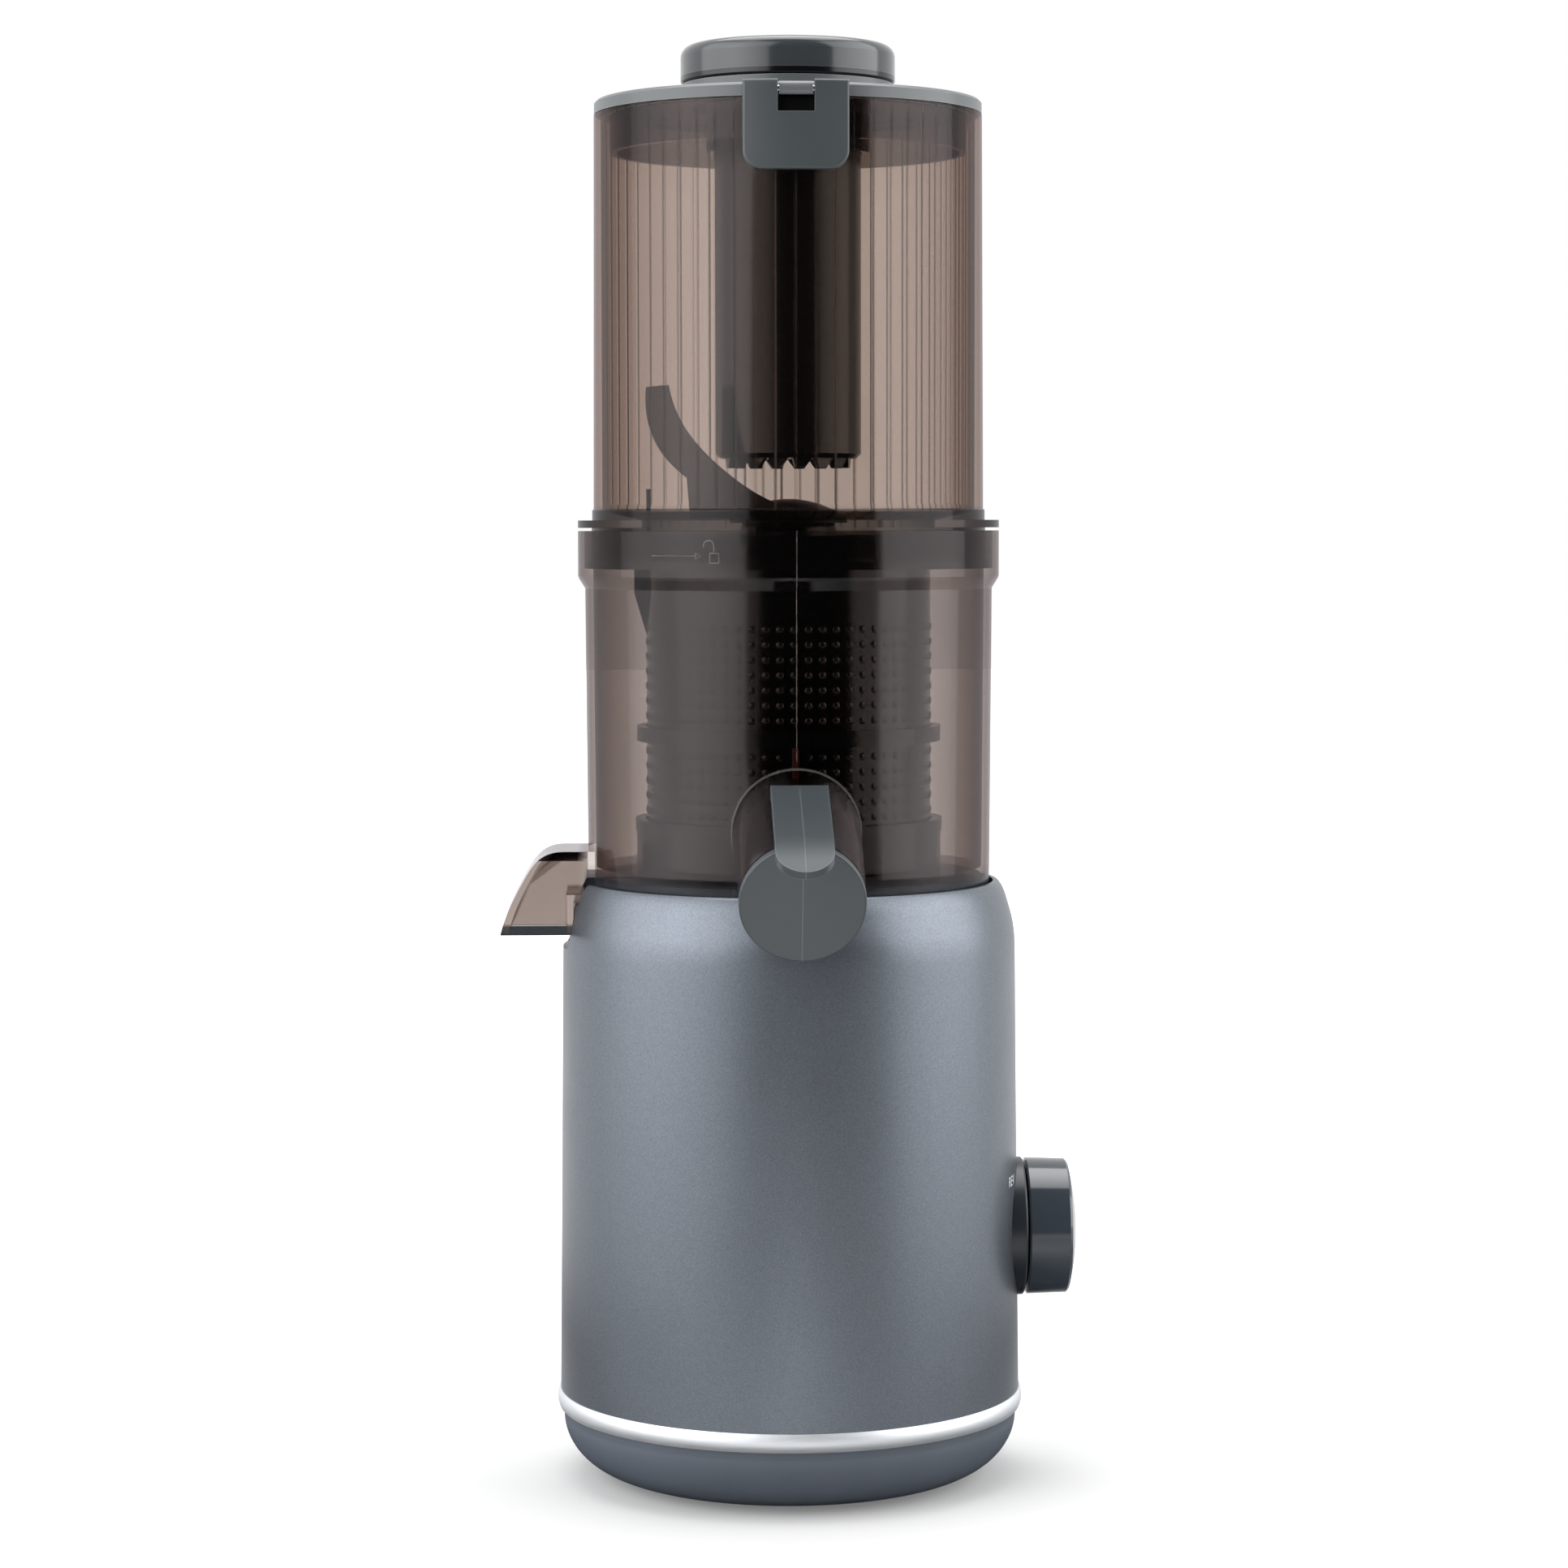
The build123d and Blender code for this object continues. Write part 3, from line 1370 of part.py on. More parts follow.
# Juice cap and its lever
with BuildPart() as strap:
    with BuildSketch(spout_side):
        with BuildLine():
            bend_centre = (strap_flat_end, strap_top - strap_bend_radius)
            over = CenterArc(bend_centre, strap_bend_radius, 90, -strap_bend_angle)
            under = CenterArc(
                bend_centre, strap_bend_radius - strap_thickness, 90, -strap_bend_angle
            )
            Line(over @ 1, under @ 1)
            Polyline(
                over @ 0,
                (hinge_place, strap_top),
                (hinge_place, strap_top - strap_thickness),
                under @ 0,
            )
        make_face()
        with Locations((hinge_place, hinge_level)):
            Circle(hinge_radius)
    extrude(amount=strap_width / 2, both=True)
    # Room for the spout's lug under the thin top skin
    with BuildSketch(spout_side):
        with Locations((hinge_place, hinge_level)):
            Circle(hinge_lug_radius + seat_gap)
        with Locations((hinge_place - hinge_radius - 0.8, hinge_level)):
            Rectangle(2 * hinge_radius, 4 * hinge_radius)
        with Locations((hinge_place, hinge_level - hinge_radius)):
            Rectangle(2 * hinge_lug_radius + 4 * seat_gap, 2 * hinge_radius)
    extrude(amount=hinge_lug_width / 2 + seat_gap, both=True, mode=Mode.SUBTRACT)
    with BuildSketch(spout_side):
        with Locations((hinge_place, hinge_level)):
            Circle(hinge_pin_radius)
    extrude(amount=strap_width / 2 - 0.6, both=True, mode=Mode.SUBTRACT)
    # Tip rounded in the plane of its own top face
    tip_lean = radians(spout_lean + strap_bend_angle)
    tip_plane = Plane(
        origin=spout_side.from_local_coords(over @ 1),
        x_dir=(1, 0, 0),
        z_dir=(0, -sin(tip_lean), cos(tip_lean)),
    )
    with BuildSketch(tip_plane):
        with Locations((0, 2 * strap_width)):
            RectangleRounded(strap_width, 4 * strap_width, strap_tip_radius)
    extrude(amount=spout_root, both=True, mode=Mode.INTERSECT)

with BuildPart() as juice_cap:
    with Locations(spout_plane.offset(spout_tip)):
        Cylinder(spout_end_radius, cap_thickness, align=(Align.CENTER, Align.CENTER, Align.MIN))
    fillet(juice_cap.edges().filter_by(GeomType.CIRCLE), 0.7)
    with Locations(spout_plane.offset(spout_tip)):
        Cylinder(
            cap_seal_radius,
            cap_seal_thickness - 0.1,
            align=(Align.CENTER, Align.CENTER, Align.MIN),
            mode=Mode.SUBTRACT,
        )
    add(strap.part)
    # Web between the disc's back and the strap
    with BuildSketch(spout_plane.offset(spout_tip + cap_seal_thickness)):
        with Locations((0, spout_end_radius - 0.5)):
            Rectangle(strap_width - 1, 3)
    extrude(amount=cap_thickness - cap_seal_thickness - 0.5)
juice_cap.part.label = "juice_cap"
export_step(juice_cap.part, "parts/juice_cap.step")

with BuildPart() as juice_cap_seal:
    with Locations(spout_plane.offset(spout_tip - 0.1)):
        Cylinder(cap_seal_radius, cap_seal_thickness, align=(Align.CENTER, Align.CENTER, Align.MIN))
juice_cap_seal.part.label = "juice_cap_seal"
export_step(juice_cap_seal.part, "parts/juice_cap_seal.step")

with BuildPart() as juice_cap_pin:
    with BuildSketch(spout_side):
        with Locations((hinge_place, hinge_level)):
            Circle(hinge_pin_radius)
    extrude(amount=strap_width / 2 - 0.6, both=True)
juice_cap_pin.part.label = "juice_cap_pin"
export_step(juice_cap_pin.part, "parts/juice_cap_pin.step")

# Strainer and wiper frame
with BuildPart() as strainer:
    strainer_top = ledge + strainer_flange + strainer_top_rise
    with BuildSketch(Plane.XZ):
        with BuildLine():
            Polyline(
                (auger_tube_radius + 7, strainer_base),
                (strainer_radius, strainer_base),
                (strainer_radius, ledge),
                (collar_inner_radius - seat_gap, ledge),
                (collar_inner_radius - seat_gap, ledge + strainer_flange),
                (strainer_radius, ledge + strainer_flange),
                (strainer_radius, strainer_top),
                (strainer_inner_radius, strainer_top),
                (strainer_inner_radius, strainer_base + strainer_floor),
                (auger_tube_radius + 7, strainer_base + strainer_floor),
                close=True,
            )
        make_face()
    revolve(axis=Axis.Z)
    extrude(
        sector_outline(pulp_hole_inner, pulp_hole_outer, 180, pulp_hole_angle, strainer_base),
        amount=strainer_floor,
        mode=Mode.SUBTRACT,
    )
    # Pointed finger that stands up into the hopper, and the gusset under the flange
    finger_arc = degrees(strainer_finger_width / strainer_radius)
    extrude(
        sector_outline(strainer_inner_radius, strainer_radius, 180, finger_arc, strainer_top - 1),
        amount=strainer_finger - strainer_finger_width + 1,
    )
    extrude(
        sector_outline(
            strainer_inner_radius,
            strainer_radius,
            180,
            finger_arc / 3,
            strainer_top + strainer_finger - strainer_finger_width,
        ),
        amount=strainer_finger_width,
    )
    with BuildSketch(Plane.XZ):
        with BuildLine():
            Polyline(
                (-strainer_radius + strainer_wall / 2, ledge),
                (-strainer_radius - gusset_reach, ledge),
                (-strainer_radius - gusset_reach, ledge - gusset_drop / 3),
                (-strainer_radius + strainer_wall / 2, ledge - gusset_drop),
                close=True,
            )
        make_face()
    extrude(amount=strainer_finger_width / 2, both=True)
strainer.part.label = "strainer"
export_step(strainer.part, "parts/strainer.step")

wiper_base = floor_top + slide_gap
wiper_flange_base = wiper_base + wiper_base_height
wiper_ring_base = floor_top + wiper_ring_rise
wiper_inner_radius = strainer_radius + wiper_ring_gap
arm_places = (90, 270)
arm_arc = degrees(wiper_arm_width / wiper_ring_radius)
blade_root = wiper_ring_radius - 1
blade_tip = bowl_bottom_radius - bowl_wall - wiper_blade_gap
blade_base = wiper_flange_base + wiper_flange_height
with BuildPart() as wiper_frame:
    with BuildSketch(Plane.XZ):
        with BuildLine():
            Polyline(
                (ring_teeth * wiper_module / 2 - wiper_module, wiper_base),
                (wiper_base_radius, wiper_base),
                (wiper_base_radius, wiper_flange_base),
                (wiper_flange_radius, wiper_flange_base),
                (wiper_flange_radius, blade_base),
                (wiper_inner_radius, blade_base),
                (wiper_inner_radius, gear_level_top + slide_gap),
                (ring_teeth * wiper_module / 2 - wiper_module, gear_level_top + slide_gap),
                close=True,
            )
        make_face()
    revolve(axis=Axis.Z)
    revolve(
        ring_outline(
            wiper_inner_radius,
            wiper_ring_radius,
            wiper_ring_base,
            wiper_ring_base + wiper_ring_height,
        ),
        axis=Axis.Z,
    )
    for angle in arm_places:
        extrude(
            sector_outline(wiper_inner_radius, wiper_ring_radius, angle, arm_arc, blade_base),
            amount=wiper_ring_base - blade_base,
        )
    # Internal teeth that the idler turns
    extrude(
        gear_outline(
            ring_teeth,
            wiper_module,
            wiper_base,
            turn=idler_angle + 180 / ring_teeth,
            play=-gear_play,
            tip=1.2,
            root=1.0,
        ),
        amount=gear_level_top + slide_gap - wiper_base,
        mode=Mode.SUBTRACT,
    )
    # Slots for the blades
    with BuildSketch(Plane.XY.offset(blade_base)):
        with PolarLocations(blade_root + 2, 2, start_angle=90):
            Rectangle(4, wiper_blade_thickness)
    extrude(amount=wiper_ring_base - blade_base, mode=Mode.SUBTRACT)
wiper_frame.part.label = "wiper_frame"
export_step(wiper_frame.part, "parts/wiper_frame.step")

with BuildPart() as wiper_blades:
    with BuildSketch(Plane.XY.offset(blade_base)):
        with PolarLocations((blade_root + blade_tip) / 2, 2, start_angle=90):
            Rectangle(blade_tip - blade_root, wiper_blade_thickness)
    extrude(amount=wiper_ring_base - blade_base)
wiper_blades.part.label = "wiper_blades"
export_step(wiper_blades.part, "parts/wiper_blades.step")

with BuildPart() as idler_gear:
    extrude(
        gear_outline(
            idler_teeth, wiper_module, gear_level, idler_place, idler_angle + 180 + 180 / idler_teeth
        ),
        amount=wiper_gear_face,
    )
    with BuildSketch(Plane.XY.offset(floor_top + seat_gap)):
        with Locations(idler_place):
            Circle(2 * idler_pin_radius)
    extrude(amount=gear_level_top - floor_top - seat_gap)
    with BuildSketch(Plane.XY.offset(floor_top)):
        with Locations(idler_place):
            Circle(idler_pin_radius + run_gap)
    extrude(amount=gear_level_top - floor_top, mode=Mode.SUBTRACT)
idler_gear.part.label = "idler_gear"
export_step(idler_gear.part, "parts/idler_gear.step")

# Auger and feed wing
socket_radius = auger_tube_radius - socket_wall + 0.4
with BuildPart() as flight:
    # One turn of rib, wide enough to reach into the core
    with BuildLine():
        path = Helix(
            flight_pitch, auger_height - auger_foot_height - auger_top_margin, flight_radius / 2
        )
    with BuildSketch(Plane(origin=path @ 0, x_dir=(1, 0, 0), z_dir=path % 0)):
        Rectangle(flight_radius * 1.2, flight_thickness)
    sweep(is_frenet=True)

with BuildPart() as auger:
    core_neck = auger_tube_radius + 3
    with BuildSketch(Plane.XZ):
        with BuildLine():
            Polyline(
                (0, auger_foot),
                (auger_tube_radius, auger_foot),
                (auger_tube_radius, gear_level_top),
                (core_neck, gear_level_top),
                (core_neck, auger_base),
                (auger_foot_radius, auger_base),
                (auger_foot_radius, auger_foot_top),
            )
            Spline(
                (auger_foot_radius, auger_foot_top),
                (0.62 * auger_foot_radius + 0.38 * auger_top_radius, auger_base + 0.36 * auger_height),
                (auger_top_radius, auger_top),
            )
            Polyline((auger_top_radius, auger_top), (0, auger_top), (0, auger_foot))
        make_face()
    revolve(axis=Axis.Z)
    for start in range(flight_starts):
        with Locations(Location((0, 0, auger_foot_top), (0, 0, 360 * start / flight_starts))):
            add(flight.part)
    revolve(ring_outline(0, flight_radius, auger_foot, auger_top), axis=Axis.Z, mode=Mode.INTERSECT)
    extrude(
        gear_outline(sun_teeth, wiper_module, gear_level, turn=idler_angle), amount=wiper_gear_face
    )
    with BuildSketch(Plane.XY.offset(auger_foot)):
        Circle(socket_radius)
    extrude(amount=drive_top + 1 - auger_foot, mode=Mode.SUBTRACT)
auger.part.label = "auger"
export_step(auger.part, "parts/auger.step")

with BuildPart() as drive_socket:
    with BuildSketch(Plane.XY.offset(auger_foot)):
        Circle(socket_radius)
        RegularPolygon(hex_across_flats / 2 + socket_gap, 6, major_radius=False, mode=Mode.SUBTRACT)
    extrude(amount=drive_top + 1 - auger_foot)
drive_socket.part.label = "drive_socket"
export_step(drive_socket.part, "parts/drive_socket.step")

with BuildPart() as feed_wing:
    # Front outline of the horn, then its curved plan
    with BuildSketch(Plane.XZ):
        with BuildLine():
            inner_curve = Spline(
                [(x, auger_top + height) for x, height in wing_inner_curve]
                + [(-wing_reach + wing_tip_width, auger_top + wing_tip_height)]
            )
            outer_curve = Spline(
                [(-wing_reach, auger_top + wing_tip_height - 0.3)]
                + [(x, auger_top + height) for x, height in wing_outer_curve]
            )
            Polyline(
                outer_curve @ 1,
                (wing_heel, auger_top + wing_foot),
                (wing_inner_curve[0][0], auger_top + wing_foot),
                inner_curve @ 0,
            )
            Line(inner_curve @ 1, outer_curve @ 0)
        make_face()
    extrude(amount=wing_reach, both=True)
    with BuildSketch(Plane.XY.offset(auger_top)):
        with BuildLine():
            ThreePointArc((-wing_reach + 1.5, 7), (-24, -20), (16, -12))
        trace(line_width=wing_thickness)
    extrude(amount=wing_tip_height + 5, mode=Mode.INTERSECT)
    # Clear of the pusher's foot
    revolve(
        ring_outline(0, pusher_radius + 1.2, pusher_foot - pusher_tooth_height - 3, lid_base),
        axis=Axis.Z,
        mode=Mode.SUBTRACT,
    )
    with BuildSketch(Plane.XZ):
        with BuildLine():
            dome = ThreePointArc(
                (wing_hub_radius, auger_top + wing_foot),
                (0.7 * wing_hub_radius, auger_top + 0.62 * wing_hub_height),
                (0, auger_top + wing_hub_height),
            )
            Polyline(
                dome @ 1,
                (0, auger_top),
                (wing_hub_radius, auger_top),
                (wing_hub_radius, auger_top + wing_foot),
            )
        make_face()
    revolve(axis=Axis.Z)
feed_wing.part.label = "feed_wing"
export_step(feed_wing.part, "parts/feed_wing.step")

# Hopper
skirt_radius = collar_inner_radius - bayonet_lug_depth - seat_gap
with BuildPart() as hopper:
    with BuildSketch(Plane.XZ):
        with BuildLine():
            Polyline(
                (hopper_throat_radius, hopper_base),
                (skirt_radius - hopper_skirt_wall, hopper_base),
                (skirt_radius - hopper_skirt_wall, hopper_base - hopper_skirt_drop),
                (skirt_radius, hopper_base - hopper_skirt_drop),
                (skirt_radius, hopper_base),
                (collar_radius, hopper_base),
                (collar_radius, hopper_floor),
                (hopper_foot_radius, hopper_floor),
                (hopper_foot_radius, hopper_floor + hopper_foot_height),
                (hopper_bottom_radius, hopper_floor + hopper_foot_height + 0.4),
                (hopper_top_radius, hopper_top),
                (hopper_inner_radius, hopper_top),
                (hopper_inner_radius, hopper_floor + hopper_foot_height - 0.4),
                (hopper_throat_radius, hopper_floor),
                close=True,
            )
        make_face()
    revolve(axis=Axis.Z)
    # Flutes down the inside of the wall, one of them facing the front
    with BuildSketch(Plane.XY.offset(hopper_floor + rib_start)):
        with PolarLocations(hopper_inner_radius, rib_count, start_angle=270):
            Circle(rib_radius)
    extrude(amount=hopper_height - 2 * rib_start + 2)
    # Bead that the latch snaps over
    bead = sector_outline(
        hopper_inner_radius + 1,
        hopper_top_radius + catch_depth,
        270,
        degrees(latch_width / hopper_top_radius) * 0.7,
        latch_foot + latch_foot_margin + catch_height,
    )
    extrude(bead, amount=catch_height)
    # Bayonet lugs that turn in under those of the collar
    for angle in lug_angles:
        lug = sector_outline(
            skirt_radius - hopper_skirt_wall / 2,
            collar_inner_radius - seat_gap,
            angle,
            hopper_lug_angle,
            hopper_lug_top - bayonet_lug_height,
        )
        extrude(lug, amount=bayonet_lug_height)
hopper.part.label = "hopper"
export_step(hopper.part, "parts/hopper.step")

# Lid, latch and pusher
bore_radius = pusher_radius + slide_gap
lid_under = lid_top - lid_wall
latch_pin_level = latch_top - latch_pin_drop
latch_plane = Plane(origin=(0, -latch_pin_place, latch_pin_level), x_dir=(0, -1, 0), z_dir=(-1, 0, 0))
lug_half = latch_notch_width / 2 - slide_gap
with BuildPart() as hopper_lid:
    with BuildSketch(Plane.XZ):
        with BuildLine():
            Polyline(
                (bore_radius, lid_base - lid_skirt_drop),
                (bore_radius + lid_wall, lid_base - lid_skirt_drop),
                (bore_radius + lid_wall, neck_top - lid_wall),
                (neck_radius - lid_wall, neck_top - lid_wall),
                (neck_radius - lid_wall, lid_under),
                (lid_skirt_radius - lid_wall, lid_under),
                (lid_skirt_radius - lid_wall, lid_base - lid_skirt_drop),
                (lid_skirt_radius, lid_base - lid_skirt_drop),
                (lid_skirt_radius, lid_base),
                (lid_radius, lid_base),
                (lid_radius, lid_top - 0.8),
                (lid_radius - 0.8, lid_top),
                (neck_radius, lid_top),
                (neck_radius, neck_top),
                (bore_radius, neck_top),
                close=True,
            )
        make_face()
    revolve(axis=Axis.Z)
    # Knuckle for the latch pin
    with BuildSketch(latch_plane):
        Circle(latch_pin_radius + 1.2)
        with Locations((-(latch_pin_place - lid_radius + 1) / 2, 0)):
            Rectangle(latch_pin_place - lid_radius + 1, 2.6)
    extrude(amount=lug_half, both=True)
    with BuildSketch(latch_plane):
        Circle(latch_pin_radius + run_gap)
    extrude(amount=latch_width, both=True, mode=Mode.SUBTRACT)
hopper_lid.part.label = "hopper_lid"
export_step(hopper_lid.part, "parts/hopper_lid.step")

with BuildPart() as lid_latch:
    with BuildSketch(Plane.XY.offset(latch_foot)):
        Circle(latch_outer_radius)
        Circle(latch_inner_radius, mode=Mode.SUBTRACT)
        with Locations((0, -latch_outer_radius)):
            Rectangle(2 * latch_width, latch_outer_radius, mode=Mode.INTERSECT)
    extrude(amount=latch_height)
    with BuildSketch(Plane.XZ.offset(latch_inner_radius - 6)):
        with Locations((0, latch_foot + latch_height)):
            RectangleRounded(latch_width, 2 * latch_height, latch_corner)
    extrude(amount=12, mode=Mode.INTERSECT)
    fillet(lid_latch.faces().sort_by(Axis.Y)[0].edges(), latch_edge)
    # Nib that hooks under the bead
    extrude(
        sector_outline(
            latch_inner_radius - 0.4,
            latch_inner_radius + 1,
            270,
            degrees(latch_width / latch_inner_radius) * 0.6,
            latch_foot + latch_foot_margin,
        ),
        amount=catch_height - seat_gap,
    )
    # Notch for the lid's knuckle, relief behind the top edge and the pin hole
    with BuildSketch(Plane.XZ.offset(latch_inner_radius - 6)):
        with Locations((0, latch_top)):
            Rectangle(latch_notch_width, 2 * latch_notch_depth)
    extrude(amount=12, mode=Mode.SUBTRACT)
    with BuildSketch(latch_plane):
        with Locations((latch_inner_radius - latch_pin_place, latch_pin_drop)):
            Circle(1.0)
        with Locations((latch_inner_radius - latch_pin_place - 3, latch_pin_drop)):
            Rectangle(6, 2)
    extrude(amount=latch_width, both=True, mode=Mode.SUBTRACT)
    with BuildSketch(latch_plane):
        Circle(latch_pin_radius)
    extrude(amount=latch_width / 2 - latch_corner, both=True, mode=Mode.SUBTRACT)
lid_latch.part.label = "lid_latch"
export_step(lid_latch.part, "parts/lid_latch.step")

with BuildPart() as latch_pin:
    with BuildSketch(latch_plane):
        Circle(latch_pin_radius)
    extrude(amount=latch_width / 2 - latch_corner, both=True)
latch_pin.part.label = "latch_pin"
export_step(latch_pin.part, "parts/latch_pin.step")

with BuildPart() as pusher_tube:
    with BuildSketch(Plane.XZ):
        with BuildLine():
            Polyline(
                (0, pusher_foot),
                (pusher_radius - 1.5, pusher_foot),
                (pusher_radius, pusher_foot + 1.5),
                (pusher_radius, cap_base),
                (pusher_radius - pusher_wall, cap_base),
                (pusher_radius - pusher_wall, pusher_foot + pusher_wall),
                (0, pusher_foot + pusher_wall),
                close=True,
            )
        make_face()
    revolve(axis=Axis.Z)
    # Teeth round the foot
    tooth_pitch = 2 * pi * pusher_tooth_radius / pusher_teeth
    for number in range(pusher_teeth):
        angle = 360 * number / pusher_teeth + 180 / pusher_teeth
        place = on_circle(pusher_tooth_radius, angle)
        across = Plane(
            origin=(place[0], place[1], pusher_foot),
            x_dir=(-sin(radians(angle)), cos(radians(angle)), 0),
            z_dir=(cos(radians(angle)), sin(radians(angle)), 0),
        )
        with BuildSketch(across):
            with BuildLine():
                Polyline(
                    (-tooth_pitch * 0.42, 0.2),
                    (-tooth_pitch * 0.3, -pusher_tooth_height),
                    (tooth_pitch * 0.1, -pusher_tooth_height),
                    (tooth_pitch * 0.42, 0.2),
                    close=True,
                )
            make_face()
        extrude(amount=-pusher_wall)
pusher_tube.part.label = "pusher_tube"
export_step(pusher_tube.part, "parts/pusher_tube.step")

with BuildPart() as pusher_cap_base:
    revolve(
        ring_outline(pusher_radius - pusher_wall, cap_radius, cap_base, cap_seam), axis=Axis.Z
    )
    chamfer(pusher_cap_base.edges().filter_by(GeomType.CIRCLE).group_by(Axis.Z)[0][-1], 0.5)
pusher_cap_base.part.label = "pusher_cap_base"
export_step(pusher_cap_base.part, "parts/pusher_cap_base.step")

with BuildPart() as pusher_cap:
    with BuildSketch(Plane.XZ):
        with BuildLine():
            crown = ThreePointArc(
                (cap_radius, cap_seam + cap_height - cap_round),
                (cap_radius - 0.3 * cap_round, cap_seam + cap_height - 0.3 * cap_round),
                (cap_radius - cap_round, cap_seam + cap_height),
            )
            Polyline(
                crown @ 1,
                (0, cap_seam + cap_height),
                (0, cap_seam + cap_height - cap_shell),
                (cap_radius - cap_round - 0.6, cap_seam + cap_height - cap_shell),
                (cap_radius - cap_shell, cap_seam + cap_height - cap_round - 0.6),
                (cap_radius - cap_shell, cap_seam),
                (cap_radius, cap_seam),
                crown @ 0,
            )
        make_face()
    revolve(axis=Axis.Z)
pusher_cap.part.label = "pusher_cap"
export_step(pusher_cap.part, "parts/pusher_cap.step")
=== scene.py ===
from math import cos, pi, radians, sin

import bpy
from mathutils import Euler, Matrix, Vector


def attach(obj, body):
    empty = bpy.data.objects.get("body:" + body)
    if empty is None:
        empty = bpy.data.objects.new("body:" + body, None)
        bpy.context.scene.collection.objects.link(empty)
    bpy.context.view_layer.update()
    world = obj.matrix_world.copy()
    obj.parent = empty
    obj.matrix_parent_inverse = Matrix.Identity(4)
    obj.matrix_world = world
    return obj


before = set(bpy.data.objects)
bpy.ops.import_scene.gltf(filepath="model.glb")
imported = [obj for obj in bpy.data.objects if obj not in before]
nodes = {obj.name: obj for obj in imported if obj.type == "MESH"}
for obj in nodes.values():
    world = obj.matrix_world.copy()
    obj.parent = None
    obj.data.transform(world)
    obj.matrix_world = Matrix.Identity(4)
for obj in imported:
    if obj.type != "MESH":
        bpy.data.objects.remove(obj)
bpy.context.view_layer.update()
scene = bpy.context.scene
mm = 0.001
print("frame loaded", len(nodes), "nodes")


# Helpers for materials


def toLinear(hexColour):
    channels = []
    for i in (0, 2, 4):
        c = int(hexColour[i : i + 2], 16) / 255
        channels.append(c / 12.92 if c <= 0.04045 else ((c + 0.055) / 1.055) ** 2.4)
    return (*channels, 1.0)


# A colour made darker or paler
def shade(colour, share, lift=0.0):
    return (*(min(1.0, c * share + lift) for c in colour[:3]), 1.0)


def newMaterial(name):
    material = bpy.data.materials.new(name)
    material.use_nodes = True
    material.node_tree.nodes.clear()
    return material, material.node_tree


# Adds one node and gives back one of its outputs. The inputs are values or sockets, as a list in
# the node's own order or a dictionary by name, and the settings are its properties
def addNode(tree, kind, inputs=(), output=0, **settings):
    node = tree.nodes.new("ShaderNode" + kind)
    for key, value in settings.items():
        setattr(node, key, value)
    for key, value in inputs.items() if isinstance(inputs, dict) else enumerate(inputs):
        if isinstance(value, bpy.types.NodeSocket):
            tree.links.new(value, node.inputs[key])
        else:
            node.inputs[key].default_value = value
    return node.outputs[output] if node.outputs else None


# Place on the object in millimetres, so that a pattern's scale is per millimetre
def inMillimetres(tree):
    where = addNode(tree, "TexCoord", output="Object")
    return addNode(tree, "VectorMath", [where, (1000, 1000, 1000)], operation="MULTIPLY")


# One coordinate of the object in millimetres
def along(tree, axis):
    return addNode(tree, "SeparateXYZ", [inMillimetres(tree)], axis)


# Distance from the upright axis, in millimetres
def fromAxis(tree):
    flat = addNode(tree, "VectorMath", [inMillimetres(tree), (1, 1, 0)], operation="MULTIPLY")
    return addNode(tree, "VectorMath", [flat], "Value", operation="LENGTH")


# 1 only where every mask is 1
def overlap(tree, mask, *others):
    for other in others:
        mask = addNode(tree, "Math", [mask, other], operation="MULTIPLY")
    return mask


# 1 between two limits and 0 outside, with soft ends
def between(tree, value, low, high, soft=0.1):
    up = addNode(tree, "MapRange", [value, low - soft, low + soft])
    down = addNode(tree, "MapRange", [value, high - soft, high + soft, 1.0, 0.0])
    return overlap(tree, up, down)


# Fine bump of a noise with grains of a size in millimetres
def grainBump(tree, grain, depth):
    spots = {"Vector": inMillimetres(tree), "Scale": 1 / grain, "Detail": 2.0}
    height = addNode(tree, "TexNoise", spots)
    return addNode(tree, "Bump", {"Height": height, "Distance": depth * mm, "Strength": 1.0}, "Normal")


# 1 along the sharp edges of a moulding, where its rounding catches the light
edgeTurn = (0.985, 0.86)  # cosine of the turn of the rounded normal, from none to full


def edgeMask(tree, radius):
    rounded = addNode(tree, "Bevel", [radius * mm], samples=6)
    plain = addNode(tree, "NewGeometry", output="Normal")
    turned = addNode(tree, "VectorMath", [rounded, plain], "Value", operation="DOT_PRODUCT")
    return addNode(tree, "MapRange", [turned, *edgeTurn])


# Metallic paint on the base: blue-grey pigment with fine aluminium flake, sprayed, under a satin
# clear coat. It sparkles evenly, and the spray leaves a faint orange peel. Sizes are in millimetres
paint = {
    "colour": "686e76",
    "flakeColour": "787e86",
    "flake": 0.32,  # coarser than the real 0.05 so that it shows
    "flakeRange": (0.2, 1.0),
    "metallic": 0.78,
    "roughness": (0.33, 0.38),  # from the smoothest patch to the roughest
    "patch": 26.0,
    "patchRange": (0.3, 0.7),
    "orangePeel": 1.4,
    "peelDepth": 0.006,
}


